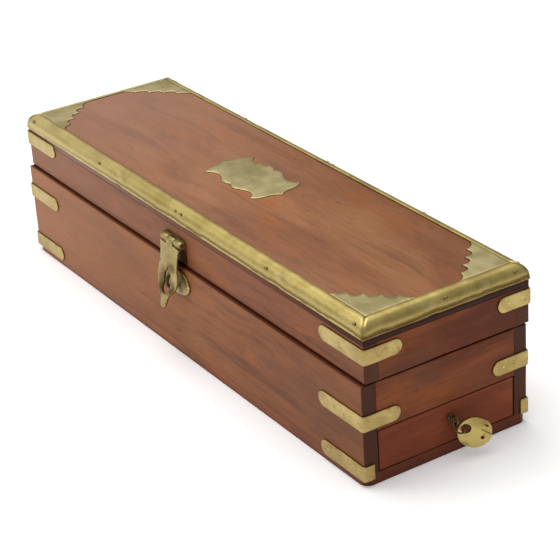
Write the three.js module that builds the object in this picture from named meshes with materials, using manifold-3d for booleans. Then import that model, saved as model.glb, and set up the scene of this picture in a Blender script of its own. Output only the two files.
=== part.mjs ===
// A brass-bound hardwood box for fountain pens: a lined pen compartment under a hinged lid, and a
// full-length drawer below it that pulls out of the right-hand end.
//
// Millimetres, +Z up. The origin is the centre of the box's underside. X runs along the box with the
// drawer's end at +X, the hasp is on the -Y side (the front) and the lid's hinges on the +Y side.

import * as THREE from "three";
import { mergeVertices } from "three/addons/utils/BufferGeometryUtils.js";
import Module from "manifold-3d";

const wasm = await Module();
wasm.setup();

// ---- driving dimensions -------------------------------------------------------------------------

const LENGTH = 300; // along X
const WIDTH = 87; // the case's depth, along Y
const BOARD = 7; // thickness of the case's and lid's boards
const CASE_TOP = 48.4; // height of the case's rim
const LID_TOP = 76.4; // height of the lid's wooden top
const SEAM = 0.3; // gap between the lid and the case
const BOTTOM_THICKNESS = 5.2;
const BOTTOM_CORNER = 4.2; // rounding of the bottom board's corners in plan

const LID_SHIFT = 1.6; // the lid sits this much towards the back
const LID_TRIM_SINK = 9.7; // the lid's frame ends this far below the wooden top
const TRIM_DROP = 7; // how far the brass edging runs down the lid's sides
const TRIM_REACH = 5.45; // how far it runs in over the top
const TRIM_SHEET = 0.8; // thickness of the edging's brass
const TRIM_RISE = 0.5; // the edging and the inlays stand this much above the wood
const TRIM_ROUND = 4.6; // radius of the edging's rounded shoulder
const TRIM_LIP = 0.2; // how far the edging stands proud of the lid's sides

const DRAWER_CEILING = 25.3; // underside of the panel above the drawer
const FLOOR_THICKNESS = 3; // board between the compartment and the drawer
const LINING = 1.2; // velvet on its card
const DRAWER_GAP = 0.5;
const DRAWER_WALL = 4;
const DRAWER_BASE = 2.6;
const DRAWER_FRONT = 6.5;

const STRAP_THICKNESS = 0.7;
const STRAP_HEIGHT = 7.3;
const STRAP_FRONT_LEG = 31.5; // along the front or back, from the corner
const STRAP_END_LEG = 19; // along an end
const STRAP_STUB = 4.8; // the end leg of a lower strap beside the drawer
const STRAP_LEVELS = { lower: 6.6, upper: 30.8, lid: 61.6 }; // heights of the straps' middles
// The straps were nailed on by eye: how much higher each sits than its row, and how much shorter
// its front and end legs are. The others are as above.
const STRAP_FIT = {
  lower_front_left: { front: 1.8 },
  upper_front_left: { higher: 4, front: 1.8 },
  lid_front_left: { higher: 2.6, front: 1.8 },
  upper_back_left: { higher: 2.2 },
  lid_back_left: { higher: 1.4 },
  lower_back_right: { higher: 1.8, end: 1 },
  upper_back_right: { higher: 1.2 },
  lid_back_right: { end: 1.8 },
};

const PLATE_LEG = 26.5; // legs of the lid's corner plates
const PLATE_SCALLOPS = 5; // along a corner plate's slanted edge
const PLATE_DIP = 3.2; // how hollow they are
const PLATE_POINT = 0.6; // how far their points stand out past a straight edge
const CARTOUCHE_CENTRE = [-3.7, 4.4];
const CARTOUCHE_HALF = [26.4, 13.8]; // half its length and half its width

const HINGE_X = 92; // the lid hinges' distance from the middle
const HINGE_WIDTH = 26;
const HINGE_RADIUS = 2.2;
const HINGE_LEAF = 1.2;
const HINGE_PIN_RADIUS = 0.9;
const HINGE_BEHIND = 2.4; // the axis lies this far behind the lid's back face
const HINGE_LEAF_REACH = 13; // from the axis to a leaf's far edge
const HINGE_ARM = [1.1, 2.1]; // how far from the axis the arms to the knuckles lie
const HINGE_PIN_PROUD = 0.4; // how far the pin stands out at each end

const HASP_X = 0.6; // the hasp's middle
const HASP_WIDTH = 17.4;
const HASP_AXIS_Z = 60;
const HASP_BARREL = 1.7; // radius
const HASP_THICKNESS = 1;
const HASP_FACE = 1.9; // from the hinge axis out to the plate's outer face
const HASP_LENGTH = 33; // from the hinge axis to the tip
const HASP_TONGUE = 2.3; // radius of the tip
const HASP_TILT = 9; // degrees that it hangs out from the vertical
const HASP_BEND = { start: 20.5, length: 6.5, depth: 1.35 }; // its step outwards above the tip
const HASP_CURL = { start: 28.5, length: 4.5, depth: 0.4 }; // the tip's own curl
const HASP_WAIST = { depth: 8.5, inset: 2.1 }; // where the sides are pulled in
const HASP_CHEST = { depth: 14.2, inset: 0.7 }; // where they come out again
const HASP_BULGE = { depth: 20.5, outset: 1 }; // what they swell towards beside the slot
const HASP_NECK = { depth: 24.6, half: 6 }; // where they turn in to the tip
const HASP_NECK_PULL = { depth: 27, half: 2.7 }; // what that turn is pulled towards
const SLOT_TOP = 12.6; // the slot's point, below the hinge axis
const SLOT_SHOULDER = 16.6; // where it reaches its full width
const SLOT_BOTTOM = 23.4; // the middle of its round end
const SLOT_HALF = 2.9; // half its width
const HASP_LEAF = 0.8; // thickness of the fixed leaf
const HASP_LEAF_BOTTOM = 50.6; // height of its lower edge
const HASP_PIN_RADIUS = 0.6;
const STAPLE_PLATE = 0.8; // thickness
const STAPLE_PLATE_HALF = [12, 6.6];
const STAPLE_PLATE_SHIFT = 1; // the plate's middle from the hasp's
const STAPLE_Z = 40;
const STAPLE_WIRE = 0.9; // radius
const STAPLE_RADIUS = 3.9; // of the loop's centre line
const STAPLE_REACH = 5.2; // from the plate to the outside of the loop

const PULL_EYE = [153.05, 1.6, 17.4]; // middle of the screw eye's hole
const PULL_HOLE = [156, 5.1, 13.7]; // middle of the disc's large hole
const PULL_TURN = 31.5; // degrees that the disc faces away from +X, towards the front
const DISC_RADIUS = 7.5;
const DISC_THICKNESS = 1.2;
const DISC_HOLE_RADIUS = 2.2;
const DISC_SMALL_HOLE_RADIUS = 0.85;
const DISC_CENTRE = [3.73, -2.34]; // from the large hole's middle, sideways and up
const DISC_SMALL_HOLE = [7, -4.9];
const RING_RADIUS = 3.16;
const RING_WIRE = 0.45; // radius
const RING_TILT = 34; // degrees that the ring leans from square to the disc
const EYE_RADIUS = 1.9;
const EYE_WIRE = 0.55; // radius
const EYE_SHANK = 0.9; // radius
const EYE_COLLAR = { radius: 1.7, height: 0.6 };

const CLEARANCE = 0.1; // radial clearance of a pin in its knuckles
const KNUCKLE_GAP = 0.3; // between neighbouring knuckles
const ROUND_STEPS = 28;

// ---- derived places -----------------------------------------------------------------------------

const END = LENGTH / 2;
const FRONT = -WIDTH / 2;
const BACK = WIDTH / 2;
const LID_FRONT = FRONT + LID_SHIFT + 0.2;
const LID_BACK = BACK + LID_SHIFT - 0.3;
const LID_BOTTOM = CASE_TOP + SEAM;
const LID_FRAME_TOP = LID_TOP - LID_TRIM_SINK;
const TRIM_TOP = LID_TOP + TRIM_RISE;
const TRIM_BOTTOM = TRIM_TOP - TRIM_DROP - TRIM_RISE;
const COMPARTMENT_FLOOR = DRAWER_CEILING + FLOOR_THICKNESS;
const INSIDE_X = END - BOARD;
const INSIDE_Y = BACK - BOARD;
const HINGE_AXIS = [LID_BACK + HINGE_BEHIND, CASE_TOP + SEAM / 2]; // y, z
const HASP_AXIS_Y = LID_FRONT - HASP_BARREL - 0.05;
const DRAWER_FACE = END - 0.2; // the drawer's front lies just inside the case's end

// ---- materials ----------------------------------------------------------------------------------

function material(color, roughness, metalness) {
  return new THREE.MeshStandardMaterial({ color, roughness, metalness });
}
const WOOD_FRONT = material(0x8a4a2c, 0.45, 0);
const WOOD_TOP = material(0x9c5b3b, 0.4, 0);
const WOOD_END = material(0x6e3620, 0.5, 0);
const WOOD_INSIDE = material(0x7b4b2e, 0.7, 0);
const BRASS = material(0xb39a4e, 0.4, 1);
const BRASS_BRIGHT = material(0xc0a24c, 0.3, 1);
const BRASS_DARK = material(0x4c4026, 0.5, 1);
const VELVET = material(0x3c0f16, 0.95, 0);

// ---- helpers ------------------------------------------------------------------------------------

const group = new THREE.Group();

function addMesh(parent, name, geometry, meshMaterial) {
  const mesh = new THREE.Mesh(geometry, meshMaterial);
  mesh.name = name;
  parent.add(mesh);
  return mesh;
}

// A board or plate between two opposite corners.
function block([x0, x1], [y0, y1], [z0, z1]) {
  const geometry = new THREE.BoxGeometry(x1 - x0, y1 - y0, z1 - z0);
  return geometry.translate((x0 + x1) / 2, (y0 + y1) / 2, (z0 + z1) / 2);
}

function addBlock(name, meshMaterial, xs, ys, zs) {
  return addMesh(group, name, block(xs, ys, zs), meshMaterial);
}

// Moves a geometry so that its own x, y and z run along u, v and w from an origin. Where that turns
// it inside out, as a mirrored copy would be, its triangles are turned round again.
function place(geometry, origin, u, v, w) {
  const matrix = new THREE.Matrix4().makeBasis(
    new THREE.Vector3(...u),
    new THREE.Vector3(...v),
    new THREE.Vector3(...w),
  );
  matrix.setPosition(...origin);
  const plain = geometry.index ? geometry.toNonIndexed() : geometry;
  plain.applyMatrix4(matrix);
  if (matrix.determinant() < 0) {
    const position = plain.attributes.position;
    for (let i = 0; i < position.count; i += 3) {
      const a = new THREE.Vector3().fromBufferAttribute(position, i);
      const b = new THREE.Vector3().fromBufferAttribute(position, i + 1);
      position.setXYZ(i, b.x, b.y, b.z);
      position.setXYZ(i + 1, a.x, a.y, a.z);
    }
  }
  return plain;
}

function extrude(shape, depth, curveSegments = 10) {
  return new THREE.ExtrudeGeometry(shape, { depth, bevelEnabled: false, curveSegments });
}

// A shape drawn in X and Y, raised from z0 to z1.
function extrudeUp(shape, z0, z1, curveSegments) {
  return extrude(shape, z1 - z0, curveSegments).translate(0, 0, z0);
}

// A shape drawn in Y and Z, drawn out along X.
function extrudeAlongX(shape, x0, x1, curveSegments) {
  return place(extrude(shape, x1 - x0, curveSegments), [x0, 0, 0], [0, 1, 0], [0, 0, 1], [1, 0, 0]);
}

// A shape drawn in X and Z, drawn out along Y.
function extrudeAlongY(shape, y0, y1, curveSegments) {
  return place(extrude(shape, y1 - y0, curveSegments), [0, y0, 0], [1, 0, 0], [0, 0, 1], [0, 1, 0]);
}

function cylinderAlongX(radius, x0, x1, y, z) {
  const geometry = new THREE.CylinderGeometry(radius, radius, x1 - x0, ROUND_STEPS);
  return geometry.rotateZ(Math.PI / 2).translate((x0 + x1) / 2, y, z);
}

function solid(geometry) {
  const bare = new THREE.BufferGeometry();
  bare.setAttribute("position", geometry.attributes.position.clone());
  if (geometry.index) bare.setIndex(geometry.index.clone());
  const merged = mergeVertices(bare, 1e-4);
  return new wasm.Manifold(
    new wasm.Mesh({
      numProp: 3,
      vertProperties: new Float32Array(merged.attributes.position.array),
      triVerts: new Uint32Array(merged.index.array),
    }),
  );
}

function geometryOf(manifold) {
  const mesh = manifold.getMesh();
  const geometry = new THREE.BufferGeometry();
  geometry.setAttribute("position", new THREE.BufferAttribute(mesh.vertProperties, mesh.numProp));
  geometry.setIndex(new THREE.BufferAttribute(mesh.triVerts, 1));
  return geometry;
}

function joined(...geometries) {
  return geometryOf(geometries.map(solid).reduce((sum, next) => sum.add(next)));
}

function cut(geometry, ...tools) {
  return geometryOf(tools.map(solid).reduce((rest, tool) => rest.subtract(tool), solid(geometry)));
}

function shapeFrom(points) {
  return new THREE.Shape(points.map(([x, y]) => new THREE.Vector2(x, y)));
}

function roundedRectangle(halfX, halfY, radius) {
  const shape = new THREE.Shape();
  shape.moveTo(halfX, -halfY + radius);
  shape.absarc(halfX - radius, halfY - radius, radius, 0, Math.PI / 2);
  shape.absarc(-halfX + radius, halfY - radius, radius, Math.PI / 2, Math.PI);
  shape.absarc(-halfX + radius, -halfY + radius, radius, Math.PI, 1.5 * Math.PI);
  shape.absarc(halfX - radius, -halfY + radius, radius, 1.5 * Math.PI, 2 * Math.PI);
  return shape;
}

// ---- the case -----------------------------------------------------------------------------------

function addCase() {
  const bottom = roundedRectangle(END, BACK, BOTTOM_CORNER);
  addMesh(group, "bottom_board", extrudeUp(bottom, 0, BOTTOM_THICKNESS, 6), WOOD_FRONT);
  const height = [BOTTOM_THICKNESS, CASE_TOP];
  addBlock("case_front_board", WOOD_FRONT, [-END, END], [FRONT, FRONT + BOARD], height);
  addBlock("case_back_board", WOOD_FRONT, [-END, END], [BACK - BOARD, BACK], height);
  const between = [-INSIDE_Y, INSIDE_Y];
  addBlock("case_left_end", WOOD_END, [-END, -INSIDE_X], between, height);
  addBlock("case_right_end_panel", WOOD_END, [INSIDE_X, END], between, [DRAWER_CEILING, CASE_TOP]);
  const floor = [DRAWER_CEILING, COMPARTMENT_FLOOR];
  addBlock("compartment_floor", WOOD_INSIDE, [-INSIDE_X, INSIDE_X], between, floor);
}

// Velvet over card, as an open tray that lines the compartment.
function addCompartmentLining() {
  const rim = CASE_TOP - 2;
  const outer = block([-INSIDE_X, INSIDE_X], [-INSIDE_Y, INSIDE_Y], [COMPARTMENT_FLOOR, rim]);
  const innerX = INSIDE_X - LINING;
  const innerY = INSIDE_Y - LINING;
  const inner = block([-innerX, innerX], [-innerY, innerY], [COMPARTMENT_FLOOR + LINING, rim + 1]);
  addMesh(group, "compartment_lining", cut(outer, inner), VELVET);
}

// Cross bars with a row of half-round notches that hold the pens apart.
function addPenRests() {
  const halfLength = INSIDE_Y - LINING - 0.3;
  const base = COMPARTMENT_FLOOR + LINING;
  const top = base + 8.5;
  const notches = 4;
  const pitch = 16;
  const notchRadius = 6;
  for (const [name, x] of [["pen_rest_left", -82], ["pen_rest_right", 48]]) {
    const outline = new THREE.Shape();
    outline.moveTo(-halfLength, base);
    outline.lineTo(halfLength, base);
    outline.lineTo(halfLength, top);
    for (let i = notches - 1; i >= 0; i -= 1) {
      const centre = (i - (notches - 1) / 2) * pitch;
      outline.absarc(centre, top, notchRadius, 0, Math.PI, true);
    }
    outline.lineTo(-halfLength, top);
    outline.closePath();
    addMesh(group, name, extrudeAlongX(outline, x - 4, x + 4, 8), WOOD_INSIDE);
  }
}

// ---- brass corner straps ------------------------------------------------------------------------

// One leg of a strap: it starts past the corner and ends round, or square.
function strapLeg(length, square) {
  const half = STRAP_HEIGHT / 2;
  const leg = new THREE.Shape();
  leg.moveTo(-STRAP_THICKNESS, -half);
  leg.lineTo(0, -half);
  if (square) {
    leg.lineTo(length, -half);
    leg.lineTo(length, half);
  } else {
    leg.absarc(length - half, 0, half, -Math.PI / 2, Math.PI / 2);
  }
  leg.lineTo(-STRAP_THICKNESS, half);
  leg.closePath();
  return extrude(leg, STRAP_THICKNESS, 9);
}

// A strap bent round the corner where the faces x = faceX and y = faceY meet.
function addStrap(name, faceX, faceY, level, usualEndLeg, square = false) {
  const { higher = 0, front = 0, end = 0 } = STRAP_FIT[name.replace("_strap", "")] ?? {};
  const z = level + higher;
  const frontLeg = STRAP_FRONT_LEG - front;
  const endLeg = usualEndLeg - end;
  const sx = Math.sign(faceX);
  const sy = Math.sign(faceY);
  const corner = [faceX, faceY, z];
  const long = place(strapLeg(frontLeg, false), corner, [-sx, 0, 0], [0, 0, 1], [0, sy, 0]);
  const short = place(strapLeg(endLeg, square), corner, [0, -sy, 0], [0, 0, 1], [sx, 0, 0]);
  addMesh(group, name, joined(long, short), BRASS);
}

function addStraps() {
  for (const [side, sx] of [["left", -1], ["right", 1]]) {
    for (const [face, sy] of [["front", -1], ["back", 1]]) {
      const caseY = sy * BACK;
      const lidY = sy < 0 ? LID_FRONT : LID_BACK;
      const stub = sx > 0;
      const lowerLeg = stub ? STRAP_STUB : STRAP_END_LEG;
      addStrap(`lower_strap_${face}_${side}`, sx * END, caseY, STRAP_LEVELS.lower, lowerLeg, stub);
      addStrap(`upper_strap_${face}_${side}`, sx * END, caseY, STRAP_LEVELS.upper, STRAP_END_LEG);
      addStrap(`lid_strap_${face}_${side}`, sx * END, lidY, STRAP_LEVELS.lid, STRAP_END_LEG);
    }
  }
}

// ---- the lid ------------------------------------------------------------------------------------

function addLidFrame() {
  const height = [LID_BOTTOM, LID_FRAME_TOP];
  addBlock("lid_front_board", WOOD_FRONT, [-END, END], [LID_FRONT, LID_FRONT + BOARD], height);
  addBlock("lid_back_board", WOOD_FRONT, [-END, END], [LID_BACK - BOARD, LID_BACK], height);
  const between = [LID_FRONT + BOARD, LID_BACK - BOARD];
  addBlock("lid_left_end", WOOD_END, [-END, -INSIDE_X], between, height);
  addBlock("lid_right_end", WOOD_END, [INSIDE_X, END], between, height);
  const lining = [LID_FRAME_TOP - LINING, LID_FRAME_TOP];
  addBlock("lid_lining", VELVET, [-INSIDE_X, INSIDE_X], between, lining);
}

// The outline of the edging's outside, as points of inset and height from its lower lip to the
// inner edge of its flat top. "sheet" moves it inwards, for the wood that it covers.
function edgingOutline(sheet) {
  const points = [];
  const side = -TRIM_LIP + sheet;
  const radius = TRIM_ROUND - sheet;
  const top = TRIM_TOP - sheet;
  const steps = 8;
  for (let i = 0; i <= steps; i += 1) {
    const angle = (i / steps) * (Math.PI / 2);
    const inset = side + radius * (1 - Math.cos(angle));
    points.push([inset, top - radius * (1 - Math.sin(angle))]);
  }
  return points;
}

// Half of the top panel's cross-section, from its outer lower corner to the raised field inside
// the edging.
function panelProfile() {
  const gap = 0.05;
  return [
    [0, LID_FRAME_TOP],
    [0, TRIM_BOTTOM - gap],
    [-TRIM_LIP + TRIM_SHEET + gap, TRIM_BOTTOM - gap],
    ...edgingOutline(TRIM_SHEET + gap),
    [TRIM_REACH + gap, TRIM_TOP - TRIM_SHEET - gap],
    [TRIM_REACH + gap, LID_TOP],
  ];
}

// The whole cross-section between two opposite faces of the lid.
function panelShape(low, high) {
  const half = panelProfile();
  const rising = half.map(([inset, z]) => [low + inset, z]);
  const falling = half.map(([inset, z]) => [high - inset, z]).reverse();
  return shapeFrom([...rising, ...falling]);
}

// The top board, its edges rounded under the brass on all four sides.
function addTopPanel() {
  const across = solid(extrudeAlongX(panelShape(LID_FRONT, LID_BACK), -END, END));
  const along = solid(extrudeAlongY(panelShape(-END, END), LID_FRONT, LID_BACK));
  addMesh(group, "lid_top_panel", geometryOf(across.intersect(along)), WOOD_TOP);
}

// The edging's section: a brass sheet folded over the rounded edge.
function edgingSection() {
  const outside = edgingOutline(0);
  const inside = edgingOutline(TRIM_SHEET);
  return [
    [-TRIM_LIP + TRIM_SHEET, TRIM_BOTTOM],
    [-TRIM_LIP, TRIM_BOTTOM],
    ...outside,
    [TRIM_REACH, TRIM_TOP],
    [TRIM_REACH, TRIM_TOP - TRIM_SHEET],
    ...inside.reverse(),
  ];
}

// One strip of edging, "half" long each way from its middle to the lid's faces. Its ends are
// mitred: each point of the section stops short by its own inset.
function edgingStrip(half) {
  const strip = extrude(shapeFrom(edgingSection()), 2);
  const position = strip.attributes.position;
  const mitreGap = 0.06;
  for (let i = 0; i < position.count; i += 1) {
    const side = position.getZ(i) > 1 ? 1 : -1;
    position.setZ(i, side * (half - position.getX(i) - mitreGap));
  }
  return strip;
}

function addEdging() {
  const middle = (LID_FRONT + LID_BACK) / 2;
  const halfDepth = (LID_BACK - LID_FRONT) / 2;
  const up = [0, 0, 1];
  const sides = [
    ["lid_trim_front", END, [0, LID_FRONT, 0], [0, 1, 0], [1, 0, 0]],
    ["lid_trim_back", END, [0, LID_BACK, 0], [0, -1, 0], [1, 0, 0]],
    ["lid_trim_left", halfDepth, [-END, middle, 0], [1, 0, 0], [0, 1, 0]],
    ["lid_trim_right", halfDepth, [END, middle, 0], [-1, 0, 0], [0, 1, 0]],
  ];
  for (const [name, half, origin, inward, along] of sides) {
    addMesh(group, name, place(edgingStrip(half), origin, inward, up, along), BRASS_BRIGHT);
  }
}

// A right-angled plate whose slanted edge is a row of hollow scallops that meet in points.
function cornerPlateShape() {
  const shape = new THREE.Shape();
  shape.moveTo(0, 0);
  shape.lineTo(PLATE_LEG, 0);
  for (let i = 1; i <= PLATE_SCALLOPS; i += 1) {
    const last = i === PLATE_SCALLOPS;
    const middle = (i - 0.5) / PLATE_SCALLOPS;
    const end = i / PLATE_SCALLOPS;
    const dip = i === 1 || last ? PLATE_DIP / 3 : PLATE_DIP;
    const point = last ? 0 : PLATE_POINT;
    const control = [PLATE_LEG * (1 - middle) - dip, PLATE_LEG * middle - dip];
    shape.quadraticCurveTo(...control, PLATE_LEG * (1 - end) + point, PLATE_LEG * end + point);
  }
  shape.closePath();
  return shape;
}

function addCornerPlates() {
  const gap = 0.25;
  for (const [side, sx] of [["left", -1], ["right", 1]]) {
    for (const [face, sy] of [["front", -1], ["back", 1]]) {
      const x = sx * (END - TRIM_REACH - gap);
      const y = sy < 0 ? LID_FRONT + TRIM_REACH + gap : LID_BACK - TRIM_REACH - gap;
      const plate = extrude(cornerPlateShape(), TRIM_RISE - 0.1, 5);
      const placed = place(plate, [x, y, LID_TOP], [-sx, 0, 0], [0, -sy, 0], [0, 0, 1]);
      addMesh(group, `lid_corner_plate_${face}_${side}`, placed, BRASS);
    }
  }
}

// The name plate in the lid's middle: a point at each end, a horn at each corner, and a shallow
// double lobe along each side. One quarter is drawn, in shares of the plate's half length and half
// width, and turned into the other three.
function cartoucheShape() {
  const [halfLength, halfWidth] = CARTOUCHE_HALF;
  const quarter = new THREE.Path();
  const curveTo = (controlX, controlY, x, y) =>
    quarter.quadraticCurveTo(
      controlX * halfLength,
      controlY * halfWidth,
      x * halfLength,
      y * halfWidth,
    );
  quarter.moveTo(halfLength, 0);
  curveTo(0.93, 0.1, 0.885, 0.36);
  curveTo(0.875, 0.7, 0.845, 0.8);
  curveTo(0.81, 0.93, 0.75, 1);
  curveTo(0.655, 0.74, 0.5, 0.74);
  curveTo(0.36, 0.8, 0.22, 0.975);
  curveTo(0.08, 1.02, 0, 0.865);
  const points = quarter.getPoints(6);
  const mirrored = (signX, signY) => points.map(({ x, y }) => [signX * x, signY * y]);
  const first = mirrored(1, 1);
  const second = mirrored(-1, 1).reverse();
  const third = mirrored(-1, -1);
  const fourth = mirrored(1, -1).reverse();
  const loop = [first, second, third, fourth].flatMap((part) => part.slice(0, -1));
  return shapeFrom(loop);
}

function addCartouche() {
  const plate = extrudeUp(cartoucheShape(), LID_TOP, LID_TOP + TRIM_RISE - 0.1);
  plate.translate(...CARTOUCHE_CENTRE, 0);
  addMesh(group, "lid_cartouche", plate, BRASS);
}

// ---- the lid's hinges ---------------------------------------------------------------------------

// The x ranges of a three-knuckle barrel: the outer two and the middle one.
function knuckleRanges(centre, width) {
  const third = width / 3;
  const half = width / 2;
  const gap = KNUCKLE_GAP / 2;
  return {
    outer: [
      [centre - half, centre - half + third - gap],
      [centre + half - third + gap, centre + half],
    ],
    middle: [centre - third / 2 + gap, centre + third / 2 - gap],
  };
}

function addLidHinges() {
  const [y, z] = HINGE_AXIS;
  const [near, far] = HINGE_ARM;
  const bore = HINGE_PIN_RADIUS + CLEARANCE;
  for (const [side, x] of [["left", -HINGE_X], ["right", HINGE_X]]) {
    const xs = [x - HINGE_WIDTH / 2, x + HINGE_WIDTH / 2];
    const { outer, middle } = knuckleRanges(x, HINGE_WIDTH);
    const hole = cylinderAlongX(bore, xs[0] - 1, xs[1] + 1, y, z);

    const caseZ = [z - HINGE_LEAF_REACH, z - near];
    const caseLeaf = [block(xs, [BACK, BACK + HINGE_LEAF], caseZ)];
    for (const range of outer) {
      caseLeaf.push(block(range, [BACK, y], [z - far, z - near]));
      caseLeaf.push(cylinderAlongX(HINGE_RADIUS, ...range, y, z));
    }
    const caseGeometry = cut(joined(...caseLeaf), hole);
    addMesh(group, `hinge_case_leaf_${side}`, caseGeometry, BRASS);

    const lidLeaf = joined(
      block(xs, [LID_BACK, LID_BACK + HINGE_LEAF], [z + far + 0.3, z + HINGE_LEAF_REACH]),
      block(middle, [LID_BACK, LID_BACK + HINGE_LEAF], [z + near, z + far + 0.9]),
      block(middle, [LID_BACK, y], [z + near, z + far]),
      cylinderAlongX(HINGE_RADIUS, ...middle, y, z),
    );
    addMesh(group, `hinge_lid_leaf_${side}`, cut(lidLeaf, hole), BRASS);
    const pinX = [xs[0] - HINGE_PIN_PROUD, xs[1] + HINGE_PIN_PROUD];
    const pin = cylinderAlongX(HINGE_PIN_RADIUS, ...pinX, y, z);
    addMesh(group, `hinge_pin_${side}`, pin, BRASS_DARK);
  }
}

// ---- hasp and staple ----------------------------------------------------------------------------

// How far the hasp's plate bends outwards at a distance t below its hinge: its lower end passes in
// front of the staple, so the lid can be raised while the hasp hangs.
function haspBend(t) {
  const rise = Math.min(Math.max((t - HASP_BEND.start) / HASP_BEND.length, 0), 1);
  const curl = Math.max(t - HASP_CURL.start, 0) / HASP_CURL.length;
  return HASP_BEND.depth * rise * rise * (3 - 2 * rise) + HASP_CURL.depth * curl * curl;
}

// Seen from the side, as distance outwards and height below the hinge axis.
function haspSide() {
  const outside = [];
  const inside = [];
  const steps = 16;
  const straight = 18; // the flat stretch below the hinge needs only its two ends
  const bent = HASP_LENGTH + 1 - straight;
  for (let i = 0; i <= steps; i += 1) {
    const t = i < 2 ? i * straight : straight + ((i - 1) / (steps - 1)) * bent;
    outside.push([-HASP_FACE - haspBend(t), -t]);
    inside.push([-HASP_FACE + HASP_THICKNESS - haspBend(t), -t]);
  }
  return shapeFrom([...outside, ...inside.reverse()]);
}

// Seen from the front: shoulders under the barrel, a slight waist, and a spear-shaped lower end.
function haspFront(middle) {
  const half = HASP_WIDTH / 2;
  const shoulder = -HASP_BARREL - 0.4;
  const tip = HASP_LENGTH - HASP_TONGUE;
  const edge = half - 0.5;
  const waist = half - HASP_WAIST.inset;
  const chest = half - HASP_CHEST.inset;
  const bulge = half + HASP_BULGE.outset;
  const outline = new THREE.Shape();
  outline.moveTo(middle[0], 1);
  outline.lineTo(middle[0], shoulder);
  outline.lineTo(-edge, shoulder);
  outline.quadraticCurveTo(-waist, -HASP_WAIST.depth, -chest, -HASP_CHEST.depth);
  outline.quadraticCurveTo(-bulge, -HASP_BULGE.depth, -HASP_NECK.half, -HASP_NECK.depth);
  outline.quadraticCurveTo(-HASP_NECK_PULL.half, -HASP_NECK_PULL.depth, -HASP_TONGUE, -tip);
  outline.absarc(0, -tip, HASP_TONGUE, Math.PI, 2 * Math.PI);
  outline.quadraticCurveTo(
    HASP_NECK_PULL.half,
    -HASP_NECK_PULL.depth,
    HASP_NECK.half,
    -HASP_NECK.depth,
  );
  outline.quadraticCurveTo(bulge, -HASP_BULGE.depth, chest, -HASP_CHEST.depth);
  outline.quadraticCurveTo(waist, -HASP_WAIST.depth, edge, shoulder);
  outline.lineTo(middle[1], shoulder);
  outline.lineTo(middle[1], 1);
  outline.closePath();
  return outline;
}

// The slot that drops over the staple: pointed above, round below.
function haspSlot() {
  const slot = new THREE.Shape();
  const between = (SLOT_TOP + SLOT_SHOULDER) / 2;
  slot.moveTo(0, -SLOT_TOP);
  slot.quadraticCurveTo(-0.8, -between, -SLOT_HALF, -SLOT_SHOULDER);
  slot.lineTo(-SLOT_HALF, -SLOT_BOTTOM);
  slot.absarc(0, -SLOT_BOTTOM, SLOT_HALF, Math.PI, 2 * Math.PI);
  slot.lineTo(SLOT_HALF, -SLOT_SHOULDER);
  slot.quadraticCurveTo(0.8, -between, 0, -SLOT_TOP);
  return slot;
}

function addHasp() {
  const half = HASP_WIDTH / 2;
  const { outer, middle } = knuckleRanges(0, HASP_WIDTH);
  const bore = HASP_PIN_RADIUS + CLEARANCE;
  const barrelTop = HASP_AXIS_Z + HASP_BARREL;

  const leaf = [block([-half, half], [LID_FRONT - HASP_LEAF, LID_FRONT], [HASP_LEAF_BOTTOM, barrelTop])];
  for (const range of outer) {
    leaf.push(block(range, [HASP_AXIS_Y, LID_FRONT], [barrelTop - 1, barrelTop]));
    leaf.push(cylinderAlongX(HASP_BARREL, ...range, HASP_AXIS_Y, HASP_AXIS_Z));
  }
  const leafHole = cylinderAlongX(bore, -half - 1, half + 1, HASP_AXIS_Y, HASP_AXIS_Z);
  const sweep = HASP_BARREL + 0.3; // room for the turning knuckle in front of the leaf
  const room = cylinderAlongX(sweep, middle[0] - 0.3, middle[1] + 0.3, HASP_AXIS_Y, HASP_AXIS_Z);
  const leafGeometry = cut(joined(...leaf), leafHole, room).translate(HASP_X, 0, 0);
  addMesh(group, "hasp_leaf", leafGeometry, BRASS);

  const pin = cylinderAlongX(HASP_PIN_RADIUS, -half - 0.3, half + 0.3, HASP_AXIS_Y, HASP_AXIS_Z);
  addMesh(group, "hasp_pin", pin.translate(HASP_X, 0, 0), BRASS_DARK);

  const hanging = new THREE.Group();
  hanging.position.set(HASP_X, HASP_AXIS_Y, HASP_AXIS_Z);
  hanging.rotation.x = THREE.MathUtils.degToRad(-HASP_TILT);
  group.add(hanging);
  const side = solid(extrudeAlongX(haspSide(), -half - 2, half + 2));
  const front = solid(extrudeAlongY(haspFront(middle), -8, 2, 6));
  const slot = solid(extrudeAlongY(haspSlot(), -9, 3, 6));
  const plate = side
    .intersect(front)
    .subtract(slot)
    .add(solid(cylinderAlongX(HASP_BARREL, ...middle, 0, 0)))
    .subtract(solid(cylinderAlongX(bore, -half, half, 0, 0)));
  addMesh(hanging, "hasp_plate", geometryOf(plate), BRASS);
}

// A wire of round section bent along a curve.
function wire(curve, radius, steps) {
  const section = new THREE.Shape();
  section.absarc(0, 0, radius, 0, 2 * Math.PI);
  const options = { steps, extrudePath: curve, bevelEnabled: false, curveSegments: 12 };
  return new THREE.ExtrudeGeometry(section, options);
}

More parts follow.
